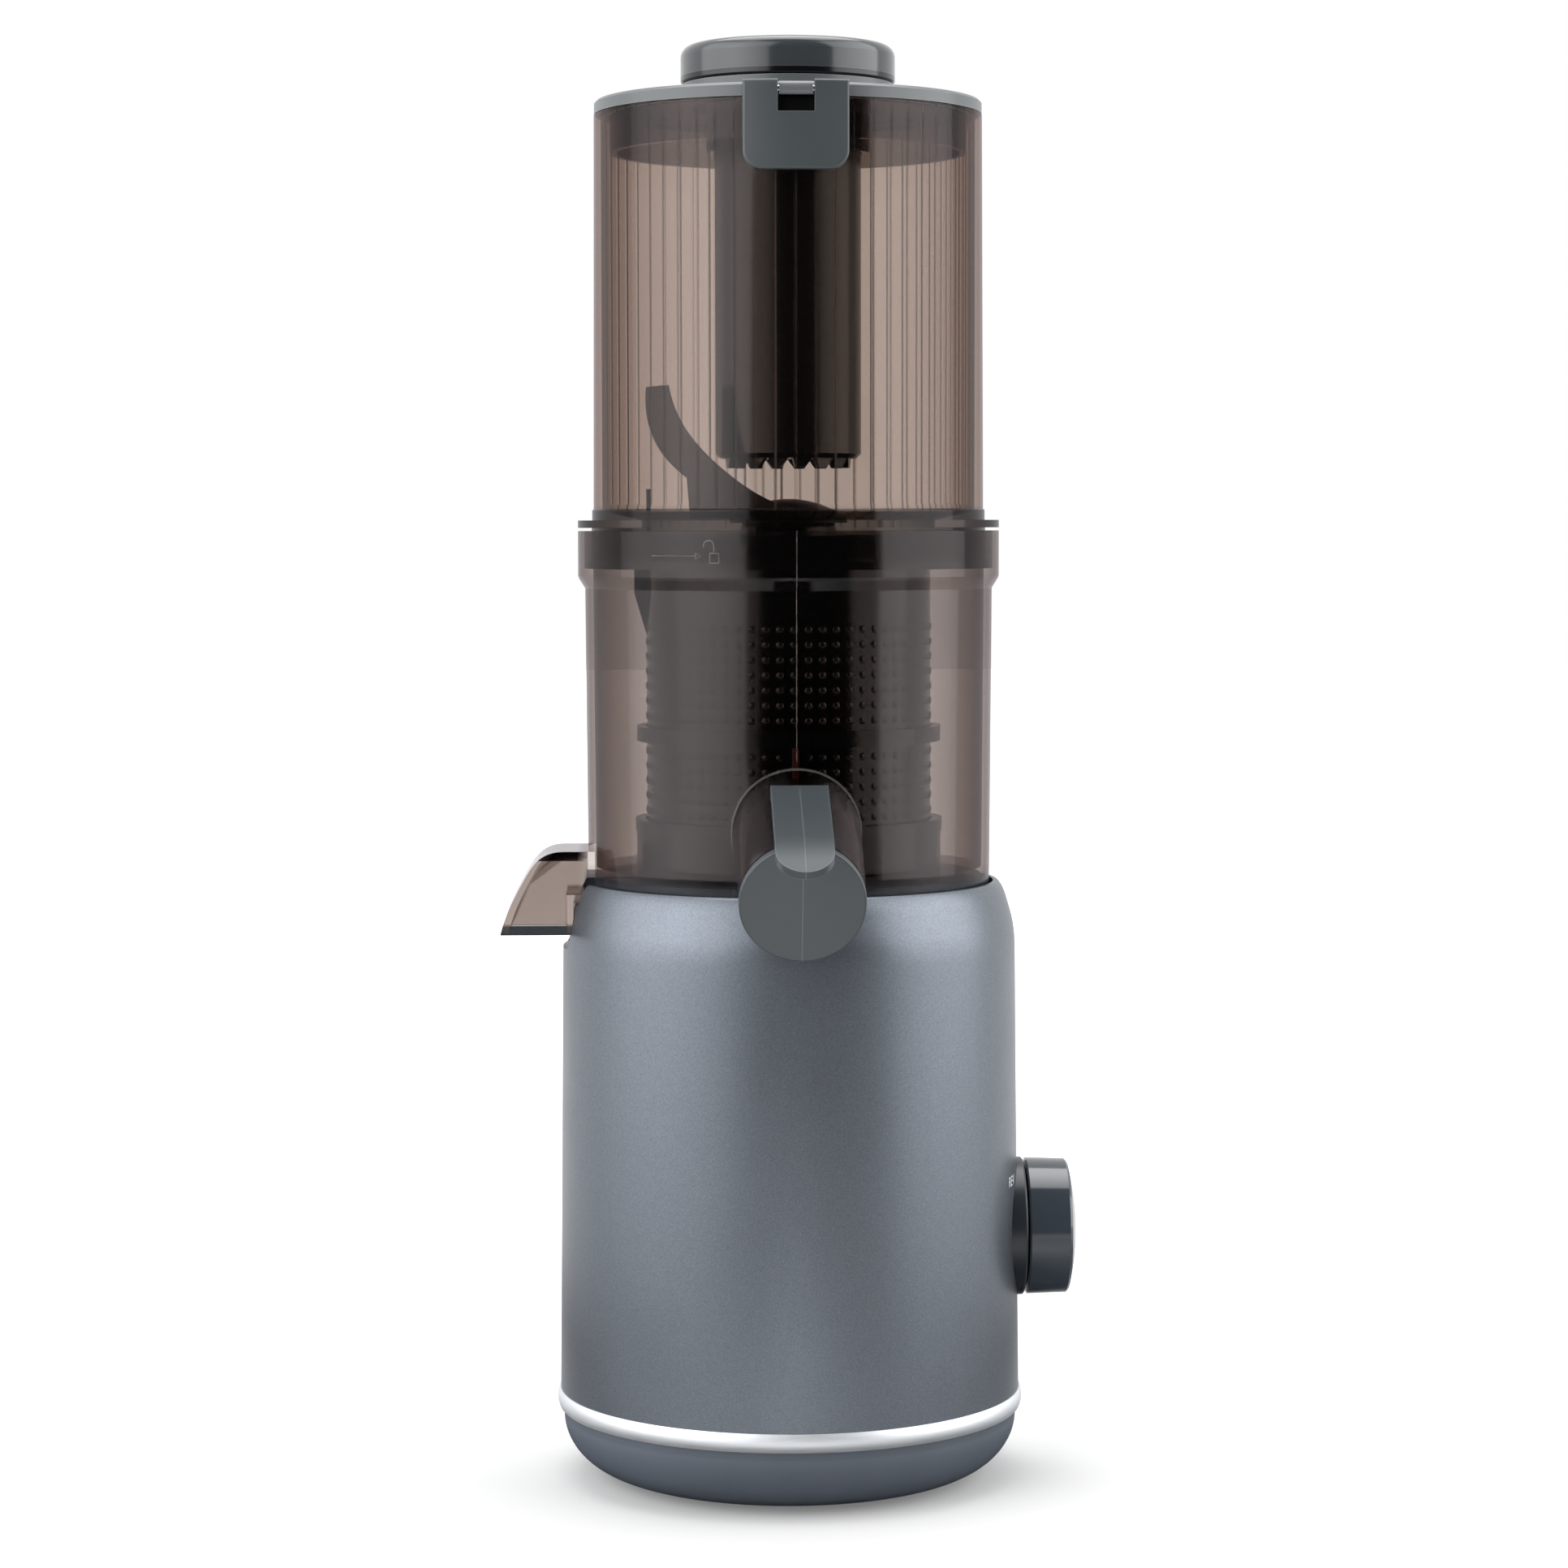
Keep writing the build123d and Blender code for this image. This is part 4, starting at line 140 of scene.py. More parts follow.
def makeMetallicPaint():
    material, tree = newMaterial("metallicBlueGreyPaint")
    cells = {"Vector": inMillimetres(tree), "Scale": 1 / paint["flake"]}
    flakes = addNode(tree, "TexVoronoi", cells, "Color")
    spark = addNode(tree, "MapRange", [flakes, *paint["flakeRange"]])
    patches = {"Vector": inMillimetres(tree), "Scale": 1 / paint["patch"], "Detail": 2.0}
    drift = addNode(tree, "TexNoise", patches)
    pigment, flake = toLinear(paint["colour"]), toLinear(paint["flakeColour"])
    coat = {
        "Base Color": addNode(tree, "MixRGB", [spark, pigment, flake]),
        "Metallic": paint["metallic"],
        "Roughness": addNode(tree, "MapRange", [drift, *paint["patchRange"], *paint["roughness"]]),
        "Normal": grainBump(tree, paint["orangePeel"], paint["peelDepth"]),
    }
    addNode(tree, "OutputMaterial", [addNode(tree, "BsdfPrincipled", coat)])
    return material


# Moulded plastic: pigmented all through, off a polished or spark-eroded mould. Its colour is a
# little uneven, with a painted highlight where an edge turns and along the flash line. Sizes are in
# millimetres
moulding = {
    "blotch": 18.0,
    "uneven": (0.93, 1.07),  # of the colour
    # pale: painted highlight on the turned edges and the flash line
    "pale": (1.7, 0.02),  # what a pale edge or line multiplies the colour by, and adds
    "wear": (0.9, 1.12),  # of the roughness
    "coatRoughness": 0.08,
    # the flash line is painted paler, as a highlight
    "flashLine": (0.15, 0.08),  # half width and softness of the line where the mould's halves met
    "flashFront": (-84.0, -90.0),  # places along Y where the line begins and is full
}


def mouldedShader(tree, colour, roughness, grain=0.6, depth=0.004, coat=0.0, edgeHighlight=0.0, seamHighlight=False):
    patches = {"Vector": inMillimetres(tree), "Scale": 1 / moulding["blotch"], "Detail": 3.0}
    blotch = addNode(tree, "TexNoise", patches)
    base = toLinear(colour)
    low, high = (shade(base, share) for share in moulding["uneven"])
    pale = shade(base, *moulding["pale"])
    shown = addNode(tree, "MixRGB", [blotch, low, high])
    # Painted highlight along the edges, where their rounding catches the light
    if edgeHighlight:
        shown = addNode(tree, "MixRGB", [edgeMask(tree, edgeHighlight), shown, pale])
    # Painted highlight along the flash line, where the mould's halves met
    if seamHighlight:
        half, soft = moulding["flashLine"]
        onSeam = between(tree, along(tree, "X"), -half, half, soft)
        inFront = addNode(tree, "MapRange", [along(tree, "Y"), *moulding["flashFront"]])
        shown = addNode(tree, "MixRGB", [overlap(tree, onSeam, inFront), shown, pale])
    least, most = (roughness * share for share in moulding["wear"])
    finish = {
        "Base Color": shown,
        "Roughness": addNode(tree, "MapRange", [blotch, 0.0, 1.0, least, most]),
        "Coat Weight": coat,
        "Coat Roughness": moulding["coatRoughness"],
        "Normal": grainBump(tree, grain, depth),
    }
    return addNode(tree, "BsdfPrincipled", finish)


def makeMouldedPlastic(name, *finish, **extras):
    material, tree = newMaterial(name)
    addNode(tree, "OutputMaterial", [mouldedShader(tree, *finish, **extras)])
    return material


# Metal, turned, drawn or brushed: a fine streak along one axis, which spreads its highlights
metalFinish = {
    "streak": (0.3, 0.3, 4.0),  # mm along each axis
    "spread": (0.8, 1.25),  # of the roughness
    "depth": 0.004,  # mm
}


def makeMetal(name, colour, roughness, streak=metalFinish["streak"], metallic=1.0):
    material, tree = newMaterial(name)
    scale = tuple(1 / size for size in streak)
    where = addNode(tree, "VectorMath", [inMillimetres(tree), scale], operation="MULTIPLY")
    lines = addNode(tree, "TexNoise", {"Vector": where, "Scale": 1.0, "Detail": 2.0})
    least, most = (roughness * share for share in metalFinish["spread"])
    finish = {
        "Base Color": toLinear(colour),
        "Metallic": metallic,
        "Roughness": addNode(tree, "MapRange", [lines, 0.0, 1.0, least, most]),
        "Normal": addNode(tree, "Bump", {"Height": lines, "Distance": metalFinish["depth"] * mm}),
    }
    addNode(tree, "OutputMaterial", [addNode(tree, "BsdfPrincipled", finish)])
    return material


# Smoky copolyester: a clear plastic with a brown tint, moulded and polished. Each face of a wall
# takes half of the wall's tint, and a slanted view goes through more of it
smoky = {
    "hopperTint": "e6e0dc",
    "jarTint": "dfdbd9",
    "chuteTint": "dcd7d4",
    # painted shade along the hopper's ribs, for the light that they bend away
    "ribShadeTint": "6e6966",
    "haze": 0.002,
    "hazeColour": "6a625e",
    "milk": 0.4,  # roughness of all that is milky in it
    "ior": 1.5,
    "slantPower": -0.8,  # a wall seen at a slant is crossed over a longer way
    "mostSlant": 0.2,
    "glancePower": 5.0,  # how late the reflection rises towards a grazing view
    "polish": 0.1,  # roughness of the mirror
    "mirror": "f7f3f8",
    "gloss": 0.5,  # of the full reflection, because both faces of a wall show it
}


def smokyShader(tree, tint, haze=smoky["haze"], hazeColour=smoky["hazeColour"], gloss=smoky["gloss"]):
    facing = addNode(tree, "LayerWeight", {"Blend": 0.5}, "Facing")
    upright = addNode(tree, "Math", [1.0, facing], operation="SUBTRACT")
    upright = addNode(tree, "Math", [upright, smoky["mostSlant"]], operation="MAXIMUM")
    path = addNode(tree, "Math", [upright, smoky["slantPower"]], operation="POWER")
    through = addNode(tree, "BsdfTransparent", [addNode(tree, "Gamma", [tint, path])])
    polished = {"Color": toLinear(smoky["mirror"]), "Roughness": smoky["polish"]}
    mirror = addNode(tree, "BsdfAnisotropic", polished)
    straight = ((smoky["ior"] - 1) / (smoky["ior"] + 1)) ** 2
    glance = addNode(tree, "Math", [facing, smoky["glancePower"]], operation="POWER")
    reflected = addNode(tree, "MapRange", [glance, 0.0, 1.0, straight, 1.0])
    clear = addNode(tree, "MixShader", [overlap(tree, reflected, gloss), through, mirror])
    cloud = {"Base Color": toLinear(hazeColour), "Roughness": smoky["milk"]}
    return addNode(tree, "MixShader", [haze, clear, addNode(tree, "BsdfPrincipled", cloud)])


# The hopper: 60 fine ribs inside, each bending the light a little differently, painted as a darker
# tint along each rib and a pale glint on some; and a black patch of painted shade behind the
# latch's notch. Sizes are in millimetres
hopperPlastic = {
    "ribs": 60,
    "ribWidth": (0.175, 0.5),  # of its dark middle, and to the end of its soft sides
    "pitch": 6.29,
    "inside": (60.45, 60.25),  # radii between which the inner face begins
    "ribStrength": (0.25, 0.95),  # from the faintest rib to the strongest
    # painted glint: a pale haze on some of the ribs
    "glint": (0.3, 1.0, 0.02, 0.32),  # some of the ribs glint
    "glintColour": "94877e",
    "foot": (315.5, 312.5),  # levels where the deeper foot begins and is full
    "footTint": "dcd8d5",
    "flange": (62.9, 63.3),
    "flangeTint": "a8a29e",
    # painted shade: a black patch behind the latch's notch, its half width and levels
    "notchShade": (6.4, 427.0, 440.5),  # half width and levels
    "notchShadeFront": (-59.0, -60.0),
    "notchShadeFinish": ("0c0b0b", 0.3),
}


def makeHopperPlastic():
    material, tree = newMaterial("smokyCopolyesterRibbed")
    x, y, z = (along(tree, axis) for axis in "XYZ")
    radius = fromAxis(tree)

    turn = addNode(tree, "Math", [y, x], operation="ARCTAN2")
    perTurn = hopperPlastic["ribs"] / (2 * pi)
    count = addNode(tree, "Math", [turn, perTurn], operation="MULTIPLY")
    off = addNode(tree, "Math", [count, 0.5], operation="PINGPONG")
    middle, side = (width / hopperPlastic["pitch"] for width in hopperPlastic["ribWidth"])
    which = addNode(tree, "Math", [count], operation="ROUND")
    chance = addNode(tree, "TexWhiteNoise", {"W": which}, "Value", noise_dimensions="1D")
    rib = overlap(
        tree,
        addNode(tree, "MapRange", [off, middle, side, 1.0, 0.0]),
        addNode(tree, "MapRange", [radius, *hopperPlastic["inside"]]),
        addNode(tree, "MapRange", [chance, 0.0, 1.0, *hopperPlastic["ribStrength"]]),
    )

    foot = addNode(tree, "MapRange", [z, *hopperPlastic["foot"]])
    flange = overlap(tree, foot, addNode(tree, "MapRange", [radius, *hopperPlastic["flange"]]))
    wallTint, footTint = toLinear(smoky["hopperTint"]), toLinear(hopperPlastic["footTint"])
    tint = addNode(tree, "MixRGB", [foot, wallTint, footTint])
    tint = addNode(tree, "MixRGB", [flange, tint, toLinear(hopperPlastic["flangeTint"])])
    # Painted shade: a darker tint along each rib
    tint = addNode(tree, "MixRGB", [rib, tint, toLinear(smoky["ribShadeTint"])])

    # Painted glint: a pale haze on some of the ribs
    glint = addNode(tree, "MapRange", [chance, *hopperPlastic["glint"]])
    haze = addNode(tree, "Math", [rib, glint, smoky["haze"]], operation="MULTIPLY_ADD")
    clear = smokyShader(tree, tint, haze, hopperPlastic["glintColour"])

    # Painted shade: a black patch behind the latch's notch, where it looks into shadow
    half, low, high = hopperPlastic["notchShade"]
    inFront = addNode(tree, "MapRange", [y, *hopperPlastic["notchShadeFront"]])
    notchShade = overlap(tree, between(tree, x, -half, half), between(tree, z, low, high), inFront)
    dark = mouldedShader(tree, *hopperPlastic["notchShadeFinish"])
    addNode(tree, "OutputMaterial", [addNode(tree, "MixShader", [notchShade, clear, dark])])
    return material


# The juice bowl: a deeper tint, a paler chute with dark ends, a painted highlight round the
# spout's root, and a flash line down the front painted as a pale highlight. Sizes are in
# millimetres, and two limits are where a thing begins and is full
bowlPlastic = {
    "chuteSide": (-65.5, -68.5),  # places along X where the chute begins and is full
    "chuteTop": (206.6, 205.6),
    "roof": (201.55, 204.3),
    "roofSides": (15.4, 15.8),
    "roofTint": "2b2827",
    "mouth": (180.7, 180.5),
    "mouthFront": (-10.0, -12.0),
    "mouthTint": "74777a",
    # Lines along the inner face of the chute's wall: place and direction away from the duct
    "walls": [
        ((-83.7, 194.0), (-0.915, 0.404)),
        ((-72.8, 202.1), (-0.596, 0.80)),
        ((-72.2, 190.0), (1.0, 0.0)),
    ],
    "wallSoft": 0.3,
    "wallGamma": 1.8,  # how much deeper the tint is through the end walls
    "sideways": (0.7, 0.9),
    "ductFloor": (191.1, 190.7),
    "spoutRoot": (-65.6, 212.2, 20.0, 20.7),  # place along Y and Z, radius, and lean in degrees
    # painted highlight round the spout's root
    "fillet": (-0.1, 0.35, 0.15),  # limits from the root's radius, and softness
    "filletBand": (64.3, 66.0, 0.2),
    "filletFront": (-50.0, -52.0, 0.0, 0.3),
    "filletHighlightColour": "8d8a88",
    "filletRoughness": 0.3,
    "spoutFront": (-67.0, -69.0),
    "spoutTop": (232.0, 230.0),
    "foot": (198.0, 194.0, 0.0, 0.34),
    "footSide": (-67.0, -65.0),  # the chute has no double wall
    "footColour": "3a444e",
    # painted highlight along the flash line down the front
    "seamHighlight": (236.0, 307.5, 0.4),
    "seamLine": (0.09, 0.06),  # half width and softness
    "seamFront": (-60.0, -63.0),
    "seamGap": 1.6,
    "seamGaps": (0.35, 0.6, 0.12, 0.4),
    "seamHighlightColour": "a39a95",
}


# The end walls of the chute, seen from its sides, where a view goes through their whole depth
def chuteWallMask(tree, x, z):
    solid = 0.0
    soft = bowlPlastic["wallSoft"]
    for (atX, atZ), (outX, outZ) in bowlPlastic["walls"]:
        back = -atX * outX - atZ * outZ
        away = addNode(tree, "Math", [x, outX, back], operation="MULTIPLY_ADD")
        away = addNode(tree, "Math", [z, outZ, away], operation="MULTIPLY_ADD")
        wall = addNode(tree, "MapRange", [away, -soft, soft])
        if outZ == 0.0:
            # The inner wall ends at the duct's floor
            wall = overlap(tree, wall, addNode(tree, "MapRange", [z, *bowlPlastic["ductFloor"]]))
        solid = addNode(tree, "Math", [wall, solid], operation="MAXIMUM")
    normal = addNode(tree, "NewGeometry", output="Normal")
    sideways = addNode(tree, "SeparateXYZ", [normal], "Y")
    sideways = addNode(tree, "Math", [sideways], operation="ABSOLUTE")
    return overlap(tree, solid, addNode(tree, "MapRange", [sideways, *bowlPlastic["sideways"]]))


# Painted highlight: the fillet round the spout's root, where it catches the light, gets a pale colour
def filletHighlightMask(tree, x, y, z):
    rootY, rootZ, rootRadius, lean = bowlPlastic["spoutRoot"]
    ahead, upward = sin(radians(lean)), cos(radians(lean))
    offset = rootY * ahead - rootZ * upward
    up = addNode(tree, "Math", [z, upward, offset], operation="MULTIPLY_ADD")
    up = addNode(tree, "Math", [y, -ahead, up], operation="MULTIPLY_ADD")
    square = addNode(tree, "Math", [x, x], operation="MULTIPLY")
    square = addNode(tree, "Math", [up, up, square], operation="MULTIPLY_ADD")
    radius = addNode(tree, "Math", [square], operation="SQRT")
    inner, outer, soft = bowlPlastic["fillet"]
    return overlap(
        tree,
        between(tree, radius, rootRadius + inner, rootRadius + outer, soft),
        between(tree, fromAxis(tree), *bowlPlastic["filletBand"]),
        addNode(tree, "MapRange", [y, *bowlPlastic["filletFront"]]),
    )


# Painted highlight along the flash line down the front, broken in places
def bowlSeamHighlightMask(tree, x, y, z):
    gaps = {"Vector": inMillimetres(tree), "Scale": 1 / bowlPlastic["seamGap"], "Detail": 1.0}
    half, soft = bowlPlastic["seamLine"]
    return overlap(
        tree,
        between(tree, x, -half, half, soft),
        between(tree, z, *bowlPlastic["seamHighlight"]),
        addNode(tree, "MapRange", [y, *bowlPlastic["seamFront"]]),
        addNode(tree, "MapRange", [addNode(tree, "TexNoise", gaps), *bowlPlastic["seamGaps"]]),
    )


def makeBowlPlastic():
    material, tree = newMaterial("smokyCopolyesterBowl")
    x, y, z = (along(tree, axis) for axis in "XYZ")
    chute = overlap(
        tree,
        addNode(tree, "MapRange", [x, *bowlPlastic["chuteSide"]]),
        addNode(tree, "MapRange", [z, *bowlPlastic["chuteTop"]]),
    )

    # Tints of the wall, the chute, its end walls, its roof and the lip of its mouth
    aside = addNode(tree, "Math", [y], operation="ABSOLUTE")
    beyond = addNode(tree, "MapRange", [aside, *bowlPlastic["roofSides"]])
    roof = overlap(tree, between(tree, z, *bowlPlastic["roof"]), beyond, chute)
    lip = addNode(tree, "MapRange", [z, *bowlPlastic["mouth"]])
    lipFront = addNode(tree, "MapRange", [y, *bowlPlastic["mouthFront"]])
    mouth = overlap(tree, lip, lipFront, chute)
    solid = overlap(tree, chuteWallMask(tree, x, z), chute)
    tint = addNode(tree, "MixRGB", [chute, toLinear(smoky["jarTint"]), toLinear(smoky["chuteTint"])])
    deeper = addNode(tree, "MapRange", [solid, 0.0, 1.0, 1.0, bowlPlastic["wallGamma"]])
    tint = addNode(tree, "Gamma", [tint, deeper])
    tint = addNode(tree, "MixRGB", [roof, tint, toLinear(bowlPlastic["roofTint"])])
    tint = addNode(tree, "MixRGB", [mouth, tint, toLinear(bowlPlastic["mouthTint"])])

    # The chute and the spout mirror the room in full, because one wall is seen there
    spout = overlap(
        tree,
        addNode(tree, "MapRange", [y, *bowlPlastic["spoutFront"]]),
        addNode(tree, "MapRange", [z, *bowlPlastic["spoutTop"]]),
    )
    single = addNode(tree, "Math", [chute, spout], operation="MAXIMUM")
    gloss = addNode(tree, "MapRange", [single, 0.0, 1.0, smoky["gloss"], 1.0])
    shown = smokyShader(tree, tint, gloss=gloss)

    # The foot's double wall looks milky; the fillet and the flash line get painted highlights
    foot = addNode(tree, "MapRange", [z, *bowlPlastic["foot"]])
    foot = overlap(tree, foot, addNode(tree, "MapRange", [x, *bowlPlastic["footSide"]]))
    layers = [
        (foot, "footColour", smoky["milk"]),
        (filletHighlightMask(tree, x, y, z), "filletHighlightColour", bowlPlastic["filletRoughness"]),
        (bowlSeamHighlightMask(tree, x, y, z), "seamHighlightColour", smoky["milk"]),
    ]
    for mask, colour, roughness in layers:
        finish = {"Base Color": toLinear(bowlPlastic[colour]), "Roughness": roughness}
        pale = addNode(tree, "BsdfPrincipled", finish)
        shown = addNode(tree, "MixShader", [mask, shown, pale])
    addNode(tree, "OutputMaterial", [shown])
    return material


# The lid: an opaque grey top, moulded on a clear skirt that goes down inside the hopper, with a
# painted highlight along the grey top's edges
lidPlastic = {
    "skirtTop": (439.6, 439.8),
    "skirtTint": "c8c3bf",
    "skirtHaze": 0.01,
    # the last figure is the rounding of the grey top's edges, along which a highlight is painted
    "finish": ("5f6365", 0.34, 0.6, 0.004, 0.1, 0.5),
}


def makeLidPlastic():
    material, tree = newMaterial("greyAbsOnSmokySkirt")
    top = addNode(tree, "MapRange", [along(tree, "Z"), *lidPlastic["skirtTop"]])
    clear = smokyShader(tree, toLinear(lidPlastic["skirtTint"]), lidPlastic["skirtHaze"])
    grey = mouldedShader(tree, *lidPlastic["finish"])
    addNode(tree, "OutputMaterial", [addNode(tree, "MixShader", [top, clear, grey])])
    return material


# A moulded plastic has its name, colour and roughness, then its grain and the grain's depth in
# millimetres, its share of coat, the rounding of its edges in millimetres, along which a highlight is
# painted, and its flash line, painted as a pale highlight
looks = {
    "paint": makeMetallicPaint(),
    # Plated plastic, satin brushed all round: pale, with long soft streaks
    "satinSilver": makeMetal("satinSilverPlating", "f0f3f7", 0.45, (6.0, 6.0, 0.35), 0.85),
    # ABS off spark-eroded moulds: an even satin, without a clear mirror of the room
    "footPlastic": makeMouldedPlastic("greyAbsSatin", "555c66", 0.45, 0.5, 0.006),
    # The latch and the juice cap get a painted highlight along their edges, the juice cap also along
    # its flash line
    "latchPlastic": makeMouldedPlastic("greyAbsGrained", "43484b", 0.36, 0.5, 0.006, 0.0, 0.6),
    "juiceCapPlastic": makeMouldedPlastic("greyAbsSeamAndEdgeHighlights", "3c4245", 0.36, 0.5, 0.005, 0.0, 0.8, True),
    # The knob's bezel: the body's paint darkened as painted shade, for the dark room that its curve
    # mirrors
    "shadedBezel": makeMouldedPlastic("bezelPaintedShade", "262c32", 0.3, 0.6, 0.004),
    # ABS off polished moulds: it mirrors the softboxes in sharp bands
    # The pusher's cap gets a painted highlight along its edges
    "capPlastic": makeMouldedPlastic("greyAbsPolished", "3b3f42", 0.16, 1.5, 0.001, 0.3, 0.4),
    "knobPlastic": makeMouldedPlastic("slateAbsPolished", "383f46", 0.14, 1.5, 0.001, 0.4),
    "blackGloss": makeMouldedPlastic("blackAbsPolished", "0b0b0c", 0.16, 1.5, 0.001),
    # Glass-filled nylon and polysulfone: dense blacks and browns with a slight gloss
    "blackSatin": makeMouldedPlastic("blackNylonSatin", "060505", 0.22, 0.6, 0.002),
    "wingPlastic": makeMouldedPlastic("darkNylonSatin", "262220", 0.4, 0.6, 0.001),
    "screenPlastic": makeMouldedPlastic("brownBlackPolysulfone", "050303", 0.15, 1.2, 0.001),
    "studPlastic": makeMouldedPlastic("brownPolysulfoneStuds", "1e1311", 0.2, 1.2, 0.001),
    # Soft moulded parts: matt rubber, and silicone with a dull glow
    "rubber": makeMouldedPlastic("blackRubber", "131313", 0.75, 0.4, 0.01),
    "silicone": makeMouldedPlastic("redSilicone", "4a1410", 0.5, 0.5, 0.004),
    # Hidden parts in their plain shop finishes
    "nylon": makeMouldedPlastic("naturalNylon", "d9d3c4", 0.45, 0.8, 0.005),
    "board": makeMouldedPlastic("greenBoardLacquer", "17502c", 0.3, 0.5, 0.003),
    "ferrite": makeMouldedPlastic("sinteredFerrite", "2a2a2b", 0.6, 0.4, 0.01),
    "steel": makeMetal("turnedSteel", "b9bbbd", 0.28),
    "bronze": makeMetal("sinteredBronze", "a87c4c", 0.4),
    "copper": makeMetal("enamelledCopper", "b0673a", 0.35),
    "hopperPlastic": makeHopperPlastic(),
    "bowlPlastic": makeBowlPlastic(),
    "lidPlastic": makeLidPlastic(),
}
print("materials made", len(looks))

finishes = {
    "paint": ["base_body"],
    "shadedBezel": ["knob_bezel"],
    "satinSilver": ["trim_ring"],
    "footPlastic": ["foot_bowl"],
    "capPlastic": ["pusher_cap"],
    "latchPlastic": ["lid_latch"],
    "juiceCapPlastic": ["juice_cap"],
    "knobPlastic": ["selector_knob"],
    "blackGloss": [
        "pusher_cap_base", "wiper_frame", "idler_gear", "cord_gland", "rotary_switch",
        "motor_end_cap", "board_components", "cooling_fan", "interlock_switch",
    ],
    "blackSatin": ["auger", "gearbox_housing", "gearbox_cover", "pusher_tube"],
    "wingPlastic": ["feed_wing"],
    "rubber": ["rubber_feet", "bowl_seal", "juice_cap_seal", "shaft_seal"],
    "silicone": ["wiper_blades"],
    "nylon": ["first_gear", "second_gear"],
    "board": ["control_board"],
    "ferrite": ["motor_magnets", "motor_brushes", "interlock_magnet"],
    "steel": [
        "drive_shaft", "drive_socket", "idler_pin", "gear_pins", "rotor_shaft", "motor_can",
        "foot_screws", "gearbox_screws", "motor_screws", "board_screws", "juice_cap_pin",
        "latch_pin", "shaft_clip", "switch_spindle", "switch_nut", "rotor_core",
        "motor_pinion", "output_gear",
    ],
    "bronze": ["shaft_bushes", "motor_bushes"],
    "copper": ["rotor_windings", "commutator"],
    "hopperPlastic": ["hopper"],
    "bowlPlastic": ["bowl"],
    "lidPlastic": ["hopper_lid"],
    "screenPlastic": ["strainer"],
}


def setMaterial(piece, material):
    piece.data.materials.clear()
    piece.data.materials.append(material)


for look, names in finishes.items():
    for name in names:
        setMaterial(nodes[name], looks[look])


# A piece made here rides on the body that it is moulded or printed on
def addPiece(name, data, body, look):
    piece = bpy.data.objects.new(name, data)
    scene.collection.objects.link(piece)
    setMaterial(piece, looks[look])
    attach(piece, body)
    return piece


# Studs of the strainer's screen, in rows round its wall, in millimetres
studs = {
    "radius": 45.85,
    "count": 64,
    "base": 1.3,
    "rise": 0.45,
    "profile": [(1.0, 0.0), (0.82, 0.5), (0.45, 0.88)],  # shares of the base radius and the rise
    "sides": 8,
    "rows": [217.0 + 4.78 * row for row in range(5)] + [247.5 + 4.78 * row for row in range(7)],
}


def makeStuds():
    points, faces = [], []
    sides, profile = studs["sides"], studs["profile"]
    for level in studs["rows"]:
        for place in range(studs["count"]):
            turn = 2 * pi * place / studs["count"]
            out = Vector((cos(turn), sin(turn), 0))
            aside = Vector((-sin(turn), cos(turn), 0))
            centre = out * studs["radius"] + Vector((0, 0, level))
            first = len(points)
            for share, rise in profile:
                reach = share * studs["base"]
                for step in range(sides):
                    around = 2 * pi * step / sides
                    point = centre + aside * (reach * cos(around)) + Vector((0, 0, reach * sin(around)))
                    points.append((point + out * (rise * studs["rise"])) * mm)
            points.append((centre + out * studs["rise"]) * mm)
            for low in range(first, first + sides * (len(profile) - 1), sides):
                for step in range(sides):
                    here, after = low + step, low + (step + 1) % sides
                    faces.append((here, after, after + sides, here + sides))
            tip = first + sides * len(profile)
            for step in range(sides):
                faces.append((tip - sides + step, tip - sides + (step + 1) % sides, tip))
    mesh = bpy.data.meshes.new("strainerStuds")
    mesh.from_pydata(points, [], faces)
    mesh.polygons.foreach_set("use_smooth", [True] * len(mesh.polygons))
    return mesh


addPiece("strainer_studs", makeStuds(), "bowl", "studPlastic")
print("strainer studs made")


# Lines raised on the bowl's collar: an arrow that points to an open padlock. Places round the
# collar are in degrees from the front, levels and sizes in millimetres
collarMark = {
    "radius": 68.0,
    "line": 0.16,
    "arrow": (-40.5, -25.6, 299.4),  # start, end and level
    "arrowHead": (1.6, 1.2, 0.9),  # length and the shaft's gap in degrees, half height
    "lock": (-23.4, 301.2),
    "shackle": (1.75, 1.2, 200, 20, 11),  # radius, rise, first angle, step and count of points
    "lockBox": (0.4, 3.4, -1.0, -4.0),  # left, right, top and bottom from the lock's place
}


def makeCollarMark():
    curve = bpy.data.curves.new("collarMark", "CURVE")
    curve.dimensions = "3D"
    curve.bevel_depth = collarMark["line"] * mm
    curve.bevel_resolution = 2
    radius = collarMark["radius"]
    perMm = 180 / (pi * radius)

    start, end, level = collarMark["arrow"]
    length, gap, half = collarMark["arrowHead"]
    back = end - length
    shaft = [(start, level), (end - gap, level)]
    head = [(back, level + half), (end, level), (back, level - half), (back, level + half)]

    middle, lockLevel = collarMark["lock"]
    left, right, top, bottom = collarMark["lockBox"]
    reach, rise, first, step, count = collarMark["shackle"]
    shackle = []
    for angle in (radians(first - step * place) for place in range(count)):
        shackle.append((middle + reach * cos(angle) * perMm, lockLevel + rise + reach * sin(angle)))
    shackle.append((middle + reach * perMm, lockLevel + top))
    corners = [(left, top), (right, top), (right, bottom), (left, bottom), (left, top)]
    box = [(middle + across * perMm, lockLevel + up) for across, up in corners]

    for line in (shaft, head, shackle, box):
        spline = curve.splines.new("POLY")
        spline.points.add(len(line) - 1)
        for point, (angle, height) in zip(spline.points, line):
            turn = radians(angle)
            place = Vector((sin(turn) * radius, -cos(turn) * radius, height)) * mm
            point.co = (*place, 1.0)
    return curve


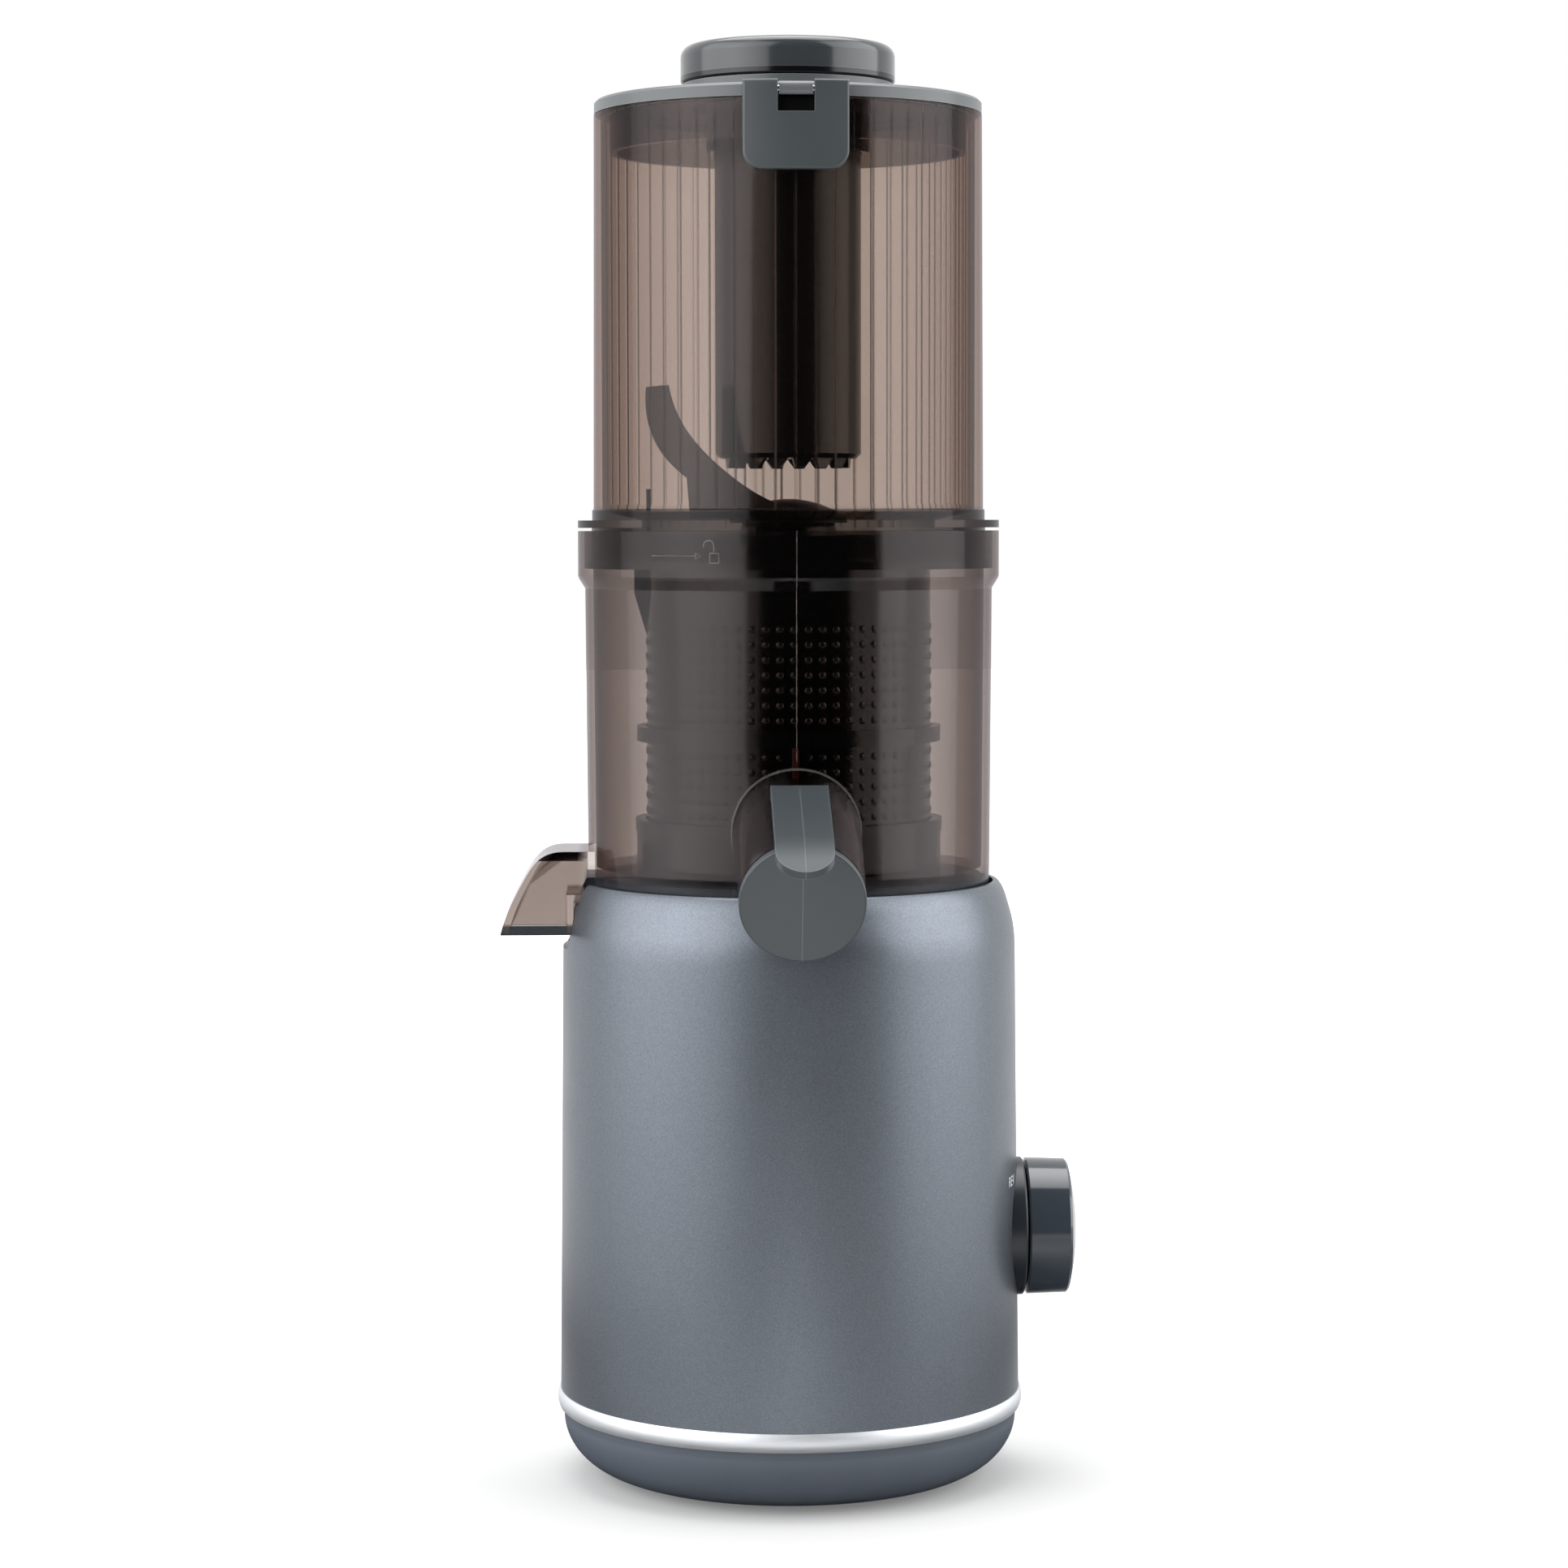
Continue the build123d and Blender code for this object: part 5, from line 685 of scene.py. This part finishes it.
looks["raisedMark"] = makeMouldedPlastic("smokyCopolyesterRaised", "6f6762", 0.3)
addPiece("collar_mark", makeCollarMark(), "bowl", "raisedMark")

# Words round the knob, printed in pale ink on the body, in millimetres
knobWords = {
    "size": 3.4 * 1.4,  # height of a capital, and the type size that gives it
    "ink": "d9dcdf",
    "radius": 74.25,
    "words": [("REV", -22.5, 97.8), ("OFF", 0.0, 107.5), ("ON", 22.5, 97.8)],  # offset along Y, level
}
looks["printedInk"] = makeMouldedPlastic("printedWhiteInk", knobWords["ink"], 0.5, 0.3, 0.001)


def makeWord(text, offset, level):
    curve = bpy.data.curves.new("word" + text, "FONT")
    curve.body = text
    curve.size = knobWords["size"] * mm
    curve.align_x = "CENTER"
    curve.align_y = "CENTER"
    shape = bpy.data.objects.new("wordShape" + text, curve)
    mesh = bpy.data.meshes.new_from_object(shape)
    bpy.data.objects.remove(shape)
    radius = knobWords["radius"] * mm
    for vertex in mesh.vertices:
        turn = (vertex.co.x + offset * mm) / radius
        vertex.co = (cos(turn) * radius, sin(turn) * radius, level * mm + vertex.co.y)
    return mesh


for text, offset, level in knobWords["words"]:
    addPiece("word_" + text.lower(), makeWord(text, offset, level), "base", "printedInk")
print("marks made")


# Studio: pale floor, two tall softboxes left and right, and a soft top light
studio = {
    "boxes": [
        # name, angle round from the camera, width, height, centre height, distance, radiance
        ("leftBox", -62.0, 2.5, 2.4, 0.75, 1.35, 1.25),
        ("rightBox", 80.0, 1.7, 2.4, 0.75, 1.35, 1.2),
        ("topBox", 180.0, 1.6, 1.6, 1.9, 0.3, 1.5),
    ],
    "spread": 108.0,  # degrees, so that a box fades towards its edges
    "aim": 0.25,
    "cameraAzimuth": -2.2,
}


# An angle below 0 stands to the left of the camera
def addBox(name, angle, width, height, level, distance, radiance):
    light = bpy.data.lights.new(name, "AREA")
    light.shape = "RECTANGLE"
    light.size = width
    light.size_y = height
    light.energy = radiance * pi * width * height
    light.spread = radians(studio["spread"])
    box = bpy.data.objects.new(name, light)
    scene.collection.objects.link(box)
    turn = radians(studio["cameraAzimuth"] + angle)
    box.location = (sin(turn) * distance, -cos(turn) * distance, level)
    aim = Vector((0, 0, studio["aim"])) - box.location
    box.rotation_euler = aim.to_track_quat("-Z", "Y").to_euler()
    box.visible_camera = False


for settings in studio["boxes"]:
    addBox(*settings)

# The floor is white to the camera and to what mirrors it, keeps the object's shadow near it,
# and is dark far in front, where the room is. What mirrors it also sees a painted pool of light
# straight in front of the object and a painted shadow close to the foot. A glow has its start and
# end, and its strengths
floorLook = {
    "size": 14.0,
    "colour": "d0d0d0",
    "seenGlow": (220.0, 600.0, 0.16, 1.05),  # mm from the axis
    "frontGlow": (-1300.0, -350.0),  # mm along Y
    # painted pool of light for what mirrors the floor, brightest straight in front
    "paintedPoolOfLight": (20.0, 200.0, 1.6, 0.15),  # mm to each side
    "farGlow": (250.0, 450.0),
    # painted shadow for what mirrors the floor, close to the foot
    "paintedFootShadow": (100.0, 170.0),  # none close to the foot, whose own shadow lies there
}


def makeFloorMaterial():
    material, tree = newMaterial("paleFloor")
    away = fromAxis(tree)
    lit = addNode(tree, "BsdfDiffuse", [toLinear(floorLook["colour"])])
    glow = addNode(tree, "MapRange", [away, *floorLook["seenGlow"]])
    seen = addNode(tree, "AddShader", [lit, addNode(tree, "Emission", {"Strength": glow})])
    aside = addNode(tree, "Math", [along(tree, "X")], operation="ABSOLUTE")
    near = addNode(tree, "MapRange", [aside, *floorLook["paintedPoolOfLight"]])
    far = addNode(tree, "MapRange", [away, *floorLook["farGlow"]])
    # What mirrors the floor sees painted light: a pool in front of the object and a shadow close to the
    # foot
    mirrored = overlap(
        tree,
        addNode(tree, "Math", [near, far], operation="MAXIMUM"),
        addNode(tree, "MapRange", [away, *floorLook["paintedFootShadow"]]),
        addNode(tree, "MapRange", [along(tree, "Y"), *floorLook["frontGlow"]]),
    )
    mirror = addNode(tree, "Emission", {"Strength": mirrored})
    glossy = addNode(tree, "LightPath", output="Is Glossy Ray")
    fromCamera = addNode(tree, "LightPath", output="Is Camera Ray")
    shown = addNode(tree, "MixShader", [glossy, lit, mirror])
    addNode(tree, "OutputMaterial", [addNode(tree, "MixShader", [fromCamera, shown, seen])])
    return material


half = floorLook["size"] / 2
corners = [(-half, -half, 0), (half, -half, 0), (half, half, 0), (-half, half, 0)]
floorMesh = bpy.data.meshes.new("floor")
floorMesh.from_pydata(corners, [], [(0, 1, 2, 3)])
floor = bpy.data.objects.new("floor", floorMesh)
scene.collection.objects.link(floor)
setMaterial(floor, makeFloorMaterial())

# The room: white to the camera, bright behind the object and dark behind the camera
room = {"colour": "ffffff", "fade": (-0.15, 0.30, 0.04, 0.9)}  # from front to back, and strengths
world = bpy.data.worlds.new("studioWorld")
scene.world = world
world.use_nodes = True
tree = world.node_tree
tree.nodes.clear()
direction = addNode(tree, "TexCoord", output="Generated")
towardsBack = addNode(tree, "SeparateXYZ", [direction], "Y")
strength = addNode(tree, "MapRange", [towardsBack, *room["fade"]])
around = addNode(tree, "Background", [toLinear(room["colour"]), strength])
behind = addNode(tree, "Background", [toLinear(room["colour"]), 1.0])
fromCamera = addNode(tree, "LightPath", output="Is Camera Ray")
addNode(tree, "OutputWorld", [addNode(tree, "MixShader", [fromCamera, around, behind])])
scene.view_settings.view_transform = "Standard"
print("studio made")


# Camera: far off and level with the bowl, pitched down, slightly to the left. Places are in
# metres, angles in degrees
cameraPlace = {
    "distance": 1.2679,
    "height": 0.3096,
    "azimuth": studio["cameraAzimuth"],
    "pitch": 3.823,
    "yawOffset": 0.07,
    "roll": -0.09,
    "sensorWidth": 36,
    "pictureSide": 1932,
    "focalPixels": 4819,
}
lens = bpy.data.cameras.new("camera")
lens.sensor_width = cameraPlace["sensorWidth"]
lens.lens = cameraPlace["focalPixels"] / cameraPlace["pictureSide"] * lens.sensor_width
camera = bpy.data.objects.new("camera", lens)
scene.collection.objects.link(camera)
turn = radians(cameraPlace["azimuth"])
yaw = turn + radians(cameraPlace["yawOffset"])
look = Euler((radians(90 - cameraPlace["pitch"]), 0, yaw)).to_matrix()
spin = Matrix.Rotation(radians(cameraPlace["roll"]), 3, "Z")
camera.matrix_world = (look @ spin).to_4x4()
distance = cameraPlace["distance"]
camera.location = (sin(turn) * distance, -cos(turn) * distance, cameraPlace["height"])
scene.camera = camera

print("scene ready")
